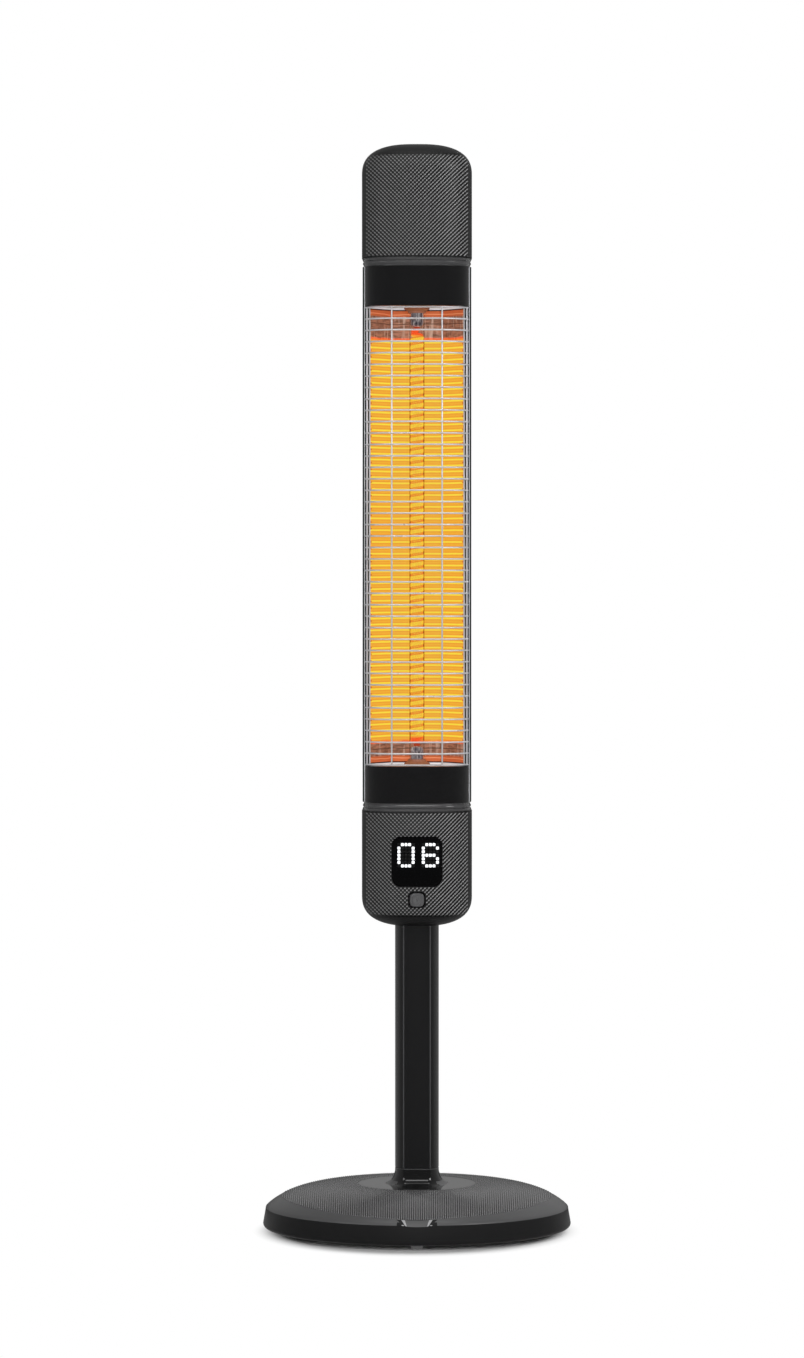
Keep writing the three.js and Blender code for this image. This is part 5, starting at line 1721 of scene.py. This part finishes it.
def rib_patch(stand):
    """Front-to-back ribs on the dome, between the smooth border and the flange."""
    rim = COVER[1][0] - stand.wall_taper
    reach_x = rim - stand.side_border
    reach_y = rim - stand.front_border
    inner_x, inner_y = stand.flange_radius, stand.flange_depth
    step = stand.rib_pitch / 4
    columns = 2 * math.floor(reach_x / step)
    rows = 57
    half_rows = rows // 2
    gap_level = 0.22
    taper_length = 0.0014
    skin_lift = 0.00004
    bm = bmesh.new()
    bmesh.ops.create_grid(bm, x_segments=columns, y_segments=rows, size=1)
    values = {}
    places = {}
    lost = []
    for vert in bm.verts:
        x = vert.co.x * columns * step / 2
        row = round((vert.co.y + 1) / 2 * rows)
        if abs(x) >= reach_x - MERGE_DISTANCE:
            lost.append(vert)
            continue
        end = reach_y * math.sqrt(1 - (x / reach_x) ** 2)
        split = abs(x) < inner_x
        if split:
            length = end - inner_y * math.sqrt(1 - (x / inner_x) ** 2)
            near = row <= half_rows
            along = rib_stop(row if near else rows - row, half_rows, length)
            y = along - end if near else end - along
        else:
            length = 2 * end
            along = rib_stop(row, rows, length)
            y = along - end
        wave = (math.cos(FULL_TURN * x / stand.rib_pitch) + 1) / 2
        taper = max(0, min(1, min(along, length - along) / taper_length))
        lift = skin_lift + wave * stand.rib_height * taper if taper > 0 else -FIT_GAP
        values[vert] = gap_level * taper + (1 - gap_level * taper) * wave
        places[vert] = (split, row <= half_rows)
        vert.co = (x, y, dome_height(math.hypot(x, y), stand) + lift)
    bmesh.ops.delete(bm, geom=lost, context="VERTS")
    crossing = [
        face for face in bm.faces
        if any(places[vert][0] for vert in face.verts) and len({places[vert][1] for vert in face.verts}) == 2
    ]
    bmesh.ops.delete(bm, geom=crossing, context="FACES_ONLY")
    face_towards(bm, Vector((0, 0, 1)))
    order = [values[vert] for vert in bm.verts]
    ribs = to_mesh(bm, fix_normals=False)
    use_material(ribs, RIBS)
    return ribs, order


def stand_finishes():
    """The stand's materials in the order of their places."""
    body, dome = colours().body, colours().dome
    wall = grained("stand plastic", shade_of(body, 0.85), 0.30, grain_scale=2600, relief=0.00002, gloss=0.10)
    smooth = grained("neck gloss", shade_of(body, 0.4), 0.04, grain_scale=1200, relief=0.0, spread=0.0)
    border = grained("border plastic", dome, 0.34, grain_scale=2600, relief=0.00002)
    # The notch flank's light grey is a painted highlight
    flank = grained("notch flank", shade_of(dome, 5.5), 0.30, grain_scale=2600, relief=0.00002)
    return [wall, ribbed_plastic_with_painted_shade(), smooth, border, flank]


def finish_shell(shell, stand):
    """Gives the shell's faces their finishes: wall, smooth flange, border and the notch's own."""
    use_material(shell, WALL)
    top_z = COVER[0][2] + stand.wall_height - stand.rim_radius
    flange_share = 1.06
    for polygon in shell.polygons:
        centre = polygon.center
        if centre.z > top_z and polygon.normal.z > 0:
            share = math.hypot(centre.x / stand.flange_radius, centre.y / stand.flange_depth)
            polygon.material_index = SMOOTH if share < flange_share else BORDER
        finish = notch_finish(centre, stand)
        if finish is not None:
            polygon.material_index = finish


def finish_neck_with_painted_light(neck, stand):
    """Gives the neck's lip and its flat sides the border's lighter finish and all else the smooth one:
    painted light on the faces that look up and a painted highlight line along the lip.
    """
    for polygon in neck.polygons:
        sideways = abs(polygon.normal.x) > 1.2 * abs(polygon.normal.y)
        painted_lip_highlight = polygon.center.z > COVER[1][2] - stand.neck_lip
        flat = polygon.normal.z > 0.6 and sideways
        polygon.material_index = BORDER if flat or painted_lip_highlight else SMOOTH


def foot_mesh(box):
    top = box[1][2]
    radius = half_of(box)[0]
    toe = radius - 0.0015
    profile = [
        (0, 0), (toe - 0.0006, 0), (toe, 0.0005), (toe + 0.0006, 0.0014), (radius, top - 0.0004),
        (radius - 0.0003, top), (0, top),
    ]
    return solid(lambda bm: lathe(bm, profile, 40, (*middle_of(box)[:2], 0)))


class HEATER_OT_stand(bpy.types.Operator):
    """Makes the round stand with its ribs, neck and front notch, and its feet"""
    bl_idname = "heater.stand"
    bl_label = "Round stand"

    def execute(self, context):
        stand = context.scene.heater_stand
        outer, hollow = stand_shell(stand)
        pole = pole_outline(-stand.pole_wall, stand)
        bore = solid(lambda bm: prism(bm, pole, COVER[0][2], COVER[1][2] + OVERRUN))
        shell = carved(outer, [hollow, notch_cutter(stand), bore])
        neck = carved(neck_mesh(stand), [bore.copy()])
        finish_shell(shell, stand)
        finish_neck_with_painted_light(neck, stand)
        ribs, values = rib_patch(stand)
        mesh = joined([shell, neck, ribs])
        add_relief(mesh, len(shell.vertices) + len(neck.vertices), values)
        add_piece(mesh, "ribbed_stand", stand_finishes(), ["base_cover"], sharp_angle=30)
        rubber = rubber_with_painted_glow()
        for side in ("front", "right", "rear", "left"):
            node = "foot_" + side
            add_piece(foot_mesh(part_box(node)), "rubber_" + node, [rubber], [node])
        return {"FINISHED"}


# Fasteners and cable gland

SCREW_RADIUS = 0.0015
SCREW_HEAD_HEIGHT = 0.002


def screw_mesh(head_radius, length):
    """A pan-head screw along +Y, its head's seat at the origin, with a cross recess."""
    radius, head_height = SCREW_RADIUS, SCREW_HEAD_HEIGHT
    dome = [
        (head_radius, 0), (head_radius, head_height * 0.45), (head_radius * 0.93, head_height * 0.72),
        (head_radius * 0.75, head_height * 0.92), (head_radius * 0.4, head_height), (0, head_height),
    ]
    thread = [(0, -length), (radius * 0.5, -length)]
    turns = int(length / (radius * 0.4))
    for step in range(turns):
        z = -length + (length - radius) * (step + 1) / turns
        thread.append((radius if step % 2 else radius * 0.78, z))
    thread.append((radius, 0))
    body = solid(lambda bm: lathe(bm, thread + dome, 32, (0, 0, 0), (0, 1, 0)))
    arm, slot_half = head_radius * 0.62, head_radius * 0.11
    slot_floor = head_height * 0.45
    cutters = []
    for half_x, half_z in ((arm, slot_half), (slot_half, arm)):
        outline = [(-half_x, -half_z), (half_x, -half_z), (half_x, half_z), (-half_x, half_z)]
        cutters.append(solid(lambda bm: front_prism(bm, outline, slot_floor, head_height + OVERRUN)))
    return carved(body, cutters)


def place_screw(node, along, turn):
    """A screw of the solid's size, turned and moved so that its head's seat lies where the solid's does."""
    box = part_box(node)
    mesh = screw_mesh(half_of(box)[0], box[1][along] - box[0][along] - SCREW_HEAD_HEIGHT)
    seat = middle_of(box)
    seat[along] = box[0][2] + SCREW_HEAD_HEIGHT if along == 2 else box[1][1] - SCREW_HEAD_HEIGHT
    mesh.transform(Matrix.Translation(seat) @ turn)
    return mesh


def gland_mesh():
    bore, body, flange, nose = 0.004, 0.007, half_of(GLAND)[0], 0.0065
    start, end = GLAND[0][1], GLAND[1][1]
    wall_y = BOTTOM_CAP[1][1] + FIT_GAP
    flange_y = wall_y + 0.004
    round_off = 0.0006
    waist = nose - 0.0004
    profile = [
        (bore, start), (body, start), (body, wall_y), (flange, wall_y),
        (flange, flange_y - round_off), (flange - round_off, flange_y), (nose + round_off, flange_y),
        (nose, flange_y + round_off), (nose, flange_y + 0.0016), (waist, flange_y + 0.0019),
        (waist, flange_y + 0.0024), (nose, flange_y + 0.0027), (nose, end - round_off),
        (nose - round_off, end), (bore + round_off, end), (bore, end - round_off), (bore, start),
    ]
    return solid(lambda bm: lathe(bm, profile, 56, GLAND_MIDDLE, (0, 1, 0)))


class HEATER_OT_fasteners(bpy.types.Operator):
    """Makes the screws of the casing and the stand, and the cable gland"""
    bl_idname = "heater.fasteners"
    bl_label = "Screws and gland"

    def execute(self, context):
        steel = grained("screw steel", shade_of(colours().sheet, 0.6), 0.32, 1.0, 1600, 0.00001)
        head_down = Matrix.Rotation(-math.pi / 2, 4, "X")
        for kind, along, turn in (("casing", 1, Matrix.Identity(4)), ("cover", 2, head_down)):
            for i in range(1, 5):
                node = f"{kind}_screw_{i}"
                add_piece(place_screw(node, along, turn), f"{kind}_fixing_{i}", [steel], [node])
        black = grained("gland plastic", colours().body, 0.5, grain_scale=1800, relief=0.00004)
        add_piece(gland_mesh(), "cord_gland", [black], ["cable_gland"])
        return {"FINISHED"}


# Carried-over solids

class HEATER_OT_inner_parts(bpy.types.Operator):
    """Gives every solid that is carried over its own finish"""
    bl_idname = "heater.inner_parts"
    bl_label = "Inner parts"

    def execute(self, context):
        c = colours()
        steel = grained("zinc steel", c.sheet, 0.34, 1.0, 900, 0.00001, spread=0.12)
        black_metal = grained("black sheet steel", shade_of(c.body, 0.7), 0.45, 0.4, 1500)
        aluminium = grained("cast aluminium", shade_of(c.sheet, 0.9), 0.42, 1.0, 1300, 0.00004)
        black = grained("black moulding", shade_of(c.body, 0.6), 0.5, grain_scale=1600)
        white = grained("white moulding", c.white_part, 0.5, grain_scale=1400)
        lead = grained("lead insulation", c.red_lead, 0.55, grain_scale=1200)
        plan = {
            steel: (
                "ballast_plate", "pole_bolt_1", "pole_bolt_2", "bracket_screw_1", "bracket_screw_2",
                "bracket_screw_3", "bracket_screw_4",
            ),
            sheet_metal(): (
                "lower_end_plate", "upper_end_plate", "lower_tube_terminal", "upper_tube_terminal",
                "tilt_switch",
            ),
            black_metal: ("base_plate",),
            aluminium: ("pole_foot_plug", "head_bracket"),
            black: ("thermal_cutout", "display_module", "switch_body", "power_relay", "gland_nut"),
            white: ("switch_plunger", "display_ribbon", "terminal_block"),
            lead: ("upper_lead_wire", "lower_lead_wire"),
            circuit_board(): ("display_board", "control_board"),
        }
        for material, names in plan.items():
            for name in names:
                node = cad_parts[name]
                node.data.materials.clear()
                node.data.materials.append(material)
        return {"FINISHED"}


# Stage

CAMERA_PLACE = (0, -5.0, 0.652)
CAMERA_LENS = 137.92
CAMERA_SHIFT = (-0.0110, -0.0937)
FLOOR_HALF_SIZE = 12

# Light of the surroundings: to all rays, and to mirrored ones in front of the part and behind it
AMBIENT_LEVEL = 0.17
BACKDROP_LEVELS = (0.12, 0.33)

# The dark flag in the backdrop: how much it takes away and the directions between which its edges fade
FLAG_STRENGTH = 0.30
FLAG_SIDE = (0.80, 0.95)
FLAG_LOWER_EDGE = (-0.078, -0.068)
FLAG_UPPER_EDGE = (0.112, 0.085)

# What the camera sees of the floor: a darker paint near the stand, painted shade that deepens its real
# shadow, a faint lift and where it turns white
PAINTED_FLOOR_SHADE = (0.44, 0.44, 0.44)
SHADE_LIFT = 0.005
SHADE_STRETCH = (1.22, 1, 1)
SHADE_FADE = (0.156, 0.194)

# Name, place, aim, width, height and power of each lamp, and whether it is seen in glossy surfaces
LAMPS = (
    ("front softbox", (0, -3.2, 0.85), (0, 0, 0.65), 1.6, 1.0, 68, False),
    ("rear softbox", (1.2, 2.2, 2.0), (0, 0, 0), 2.0, 1.2, 122, False),
    ("upper strip", (0, -1.6, 2.3), (0, 0, 0.1), 1.4, 0.42, 7, True),
    ("overhead strip", (0, -0.15, 2.4), (0, 0, 0.1), 1.4, 0.45, 6, True),
    ("side strip", (-1.75, -1.45, 1.75), (0, 0, 0.1), 0.9, 0.8, 7.5, True),
    ("side strip", (1.75, -1.45, 1.75), (0, 0, 0.1), 0.9, 0.8, 17.5, True),
)


def seen_rays(tree):
    """1 for rays that look at the background: the camera's, and glossy and transmitted ones."""
    path = tree.nodes.new("ShaderNodeLightPath").outputs
    seen = math_node(tree, "MAXIMUM", path["Is Glossy Ray"], path["Is Transmission Ray"])
    return math_node(tree, "MAXIMUM", seen, path["Is Camera Ray"])


def build_world():
    """White to the camera, grey with a dark flag at the back to mirrored rays, dim light to all others."""
    world = bpy.data.worlds.new("studio")
    bpy.context.scene.world = world
    world.use_nodes = True
    tree = world.node_tree
    tree.nodes.clear()
    place = tree.nodes.new("ShaderNodeTexCoord").outputs["Generated"]
    _, toward, upward = separate(tree, place)
    level = map_range(tree, toward, -1.0, 0.8, *BACKDROP_LEVELS)
    behind = map_range(tree, toward, *FLAG_SIDE, smooth=True)
    above = map_range(tree, upward, *FLAG_LOWER_EDGE, smooth=True)
    below = map_range(tree, upward, *FLAG_UPPER_EDGE, smooth=True)
    flag = math_node(tree, "MULTIPLY", behind, math_node(tree, "MULTIPLY", above, below))
    level = math_node(tree, "SUBTRACT", level, math_node(tree, "MULTIPLY", flag, FLAG_STRENGTH))
    camera = tree.nodes.new("ShaderNodeLightPath").outputs["Is Camera Ray"]
    strength = math_node(tree, "MAXIMUM", level, camera)
    ambient = add_node(tree, "Background", {"Color": WHITE, "Strength": AMBIENT_LEVEL}).outputs[0]
    seen = add_node(tree, "Background", {"Color": WHITE, "Strength": strength}).outputs[0]
    add_node(tree, "OutputWorld", {"Surface": mix_shader(tree, seen_rays(tree), ambient, seen)})


def build_floor():
    """A pale floor that the camera sees in a darker paint close to the stand, painted shade over its real
    shadow, and white beyond it.
    """
    bm = bmesh.new()
    bmesh.ops.create_grid(bm, x_segments=4, y_segments=4, size=FLOOR_HALF_SIZE)
    mesh = to_mesh(bm)
    floor = bpy.data.objects.new("floor", mesh)
    bpy.context.scene.collection.objects.link(floor)
    material, tree, shader = new_material("studio floor")
    tree.nodes.remove(shader)
    paint = add_node(tree, "BsdfDiffuse", {"Color": (0.8, 0.8, 0.8)}).outputs[0]
    painted_floor_shade = add_node(tree, "BsdfDiffuse", {"Color": PAINTED_FLOOR_SHADE}).outputs[0]
    lift = add_node(tree, "Emission", {"Color": WHITE, "Strength": SHADE_LIFT}).outputs[0]
    close = add_node(tree, "AddShader", {0: painted_floor_shade, 1: lift}).outputs[0]
    white = add_node(tree, "Emission", {"Color": WHITE, "Strength": 1}).outputs[0]
    oval = stretched(tree, object_place(tree), SHADE_STRETCH)
    distance = add_node(tree, "VectorMath", {0: oval}, operation="LENGTH").outputs["Value"]
    far = map_range(tree, distance, *SHADE_FADE, smooth=True)
    path = tree.nodes.new("ShaderNodeLightPath").outputs
    plain = mix_shader(tree, path["Is Camera Ray"], paint, mix_shader(tree, far, close, white))
    clear = add_node(tree, "BsdfTransparent", {}).outputs[0]
    surface = mix_shader(tree, path["Is Glossy Ray"], plain, clear)
    feed(tree, tree.nodes["Material Output"], {"Surface": surface})
    mesh.materials.append(material)


def add_lamp(name, place, aim, width, height, power, mirrored):
    data = bpy.data.lights.new(name, "AREA")
    data.shape = "RECTANGLE"
    data.size = width
    data.size_y = height
    data.energy = power
    lamp = bpy.data.objects.new(name, data)
    lamp.visible_glossy = mirrored
    lamp.visible_transmission = False
    lamp.location = place
    lamp.rotation_euler = (Vector(aim) - Vector(place)).to_track_quat("-Z", "Y").to_euler()
    bpy.context.scene.collection.objects.link(lamp)


def add_camera():
    data = bpy.data.cameras.new("camera")
    data.lens = CAMERA_LENS
    data.shift_x, data.shift_y = CAMERA_SHIFT
    data.clip_end = 50
    camera = bpy.data.objects.new("camera", data)
    camera.location = CAMERA_PLACE
    camera.rotation_euler = (math.pi / 2, 0, 0)
    bpy.context.scene.collection.objects.link(camera)
    bpy.context.scene.camera = camera


class HEATER_OT_stage(bpy.types.Operator):
    """Sets the pale floor, the soft lamps and the camera"""
    bl_idname = "heater.stage"
    bl_label = "Stage"

    def execute(self, context):
        build_world()
        build_floor()
        for lamp in LAMPS:
            add_lamp(*lamp)
        add_camera()
        context.scene.view_settings.view_transform = "Standard"
        return {"FINISHED"}


STEPS = (
    HEATER_OT_caps, HEATER_OT_casing, HEATER_OT_grille, HEATER_OT_reflector, HEATER_OT_tube,
    HEATER_OT_display, HEATER_OT_button, HEATER_OT_pole, HEATER_OT_stand, HEATER_OT_fasteners,
    HEATER_OT_inner_parts, HEATER_OT_stage,
)
GROUPS = {
    "heater_head": HeadSizes,
    "heater_display": DisplaySizes,
    "heater_chamber": ChamberSizes,
    "heater_stand": StandSizes,
    "heater_colours": HeaterColours,
}


class HEATER_PT_panel(bpy.types.Panel):
    """Lists the heater's steps, sizes and colours"""
    bl_idname = "HEATER_PT_panel"
    bl_label = "Carbon heater"
    bl_space_type = "VIEW_3D"
    bl_region_type = "UI"
    bl_category = "Heater"

    def draw(self, context):
        layout = self.layout
        for step in STEPS:
            layout.operator(step.bl_idname)
        for name, group in GROUPS.items():
            box = layout.box()
            for prop in group.__annotations__:
                box.prop(getattr(context.scene, name), prop)


CLASSES = (*GROUPS.values(), *STEPS, HEATER_PT_panel)


def register():
    for cls in CLASSES:
        bpy.utils.register_class(cls)
    for name, group in GROUPS.items():
        setattr(bpy.types.Scene, name, PointerProperty(type=group))


def unregister():
    for name in GROUPS:
        delattr(bpy.types.Scene, name)
    for cls in reversed(CLASSES):
        bpy.utils.unregister_class(cls)


def main():
    register()
    for step in STEPS:
        group, name = step.bl_idname.split(".")
        getattr(getattr(bpy.ops, group), name)()


if __name__ == "__main__":
    main()
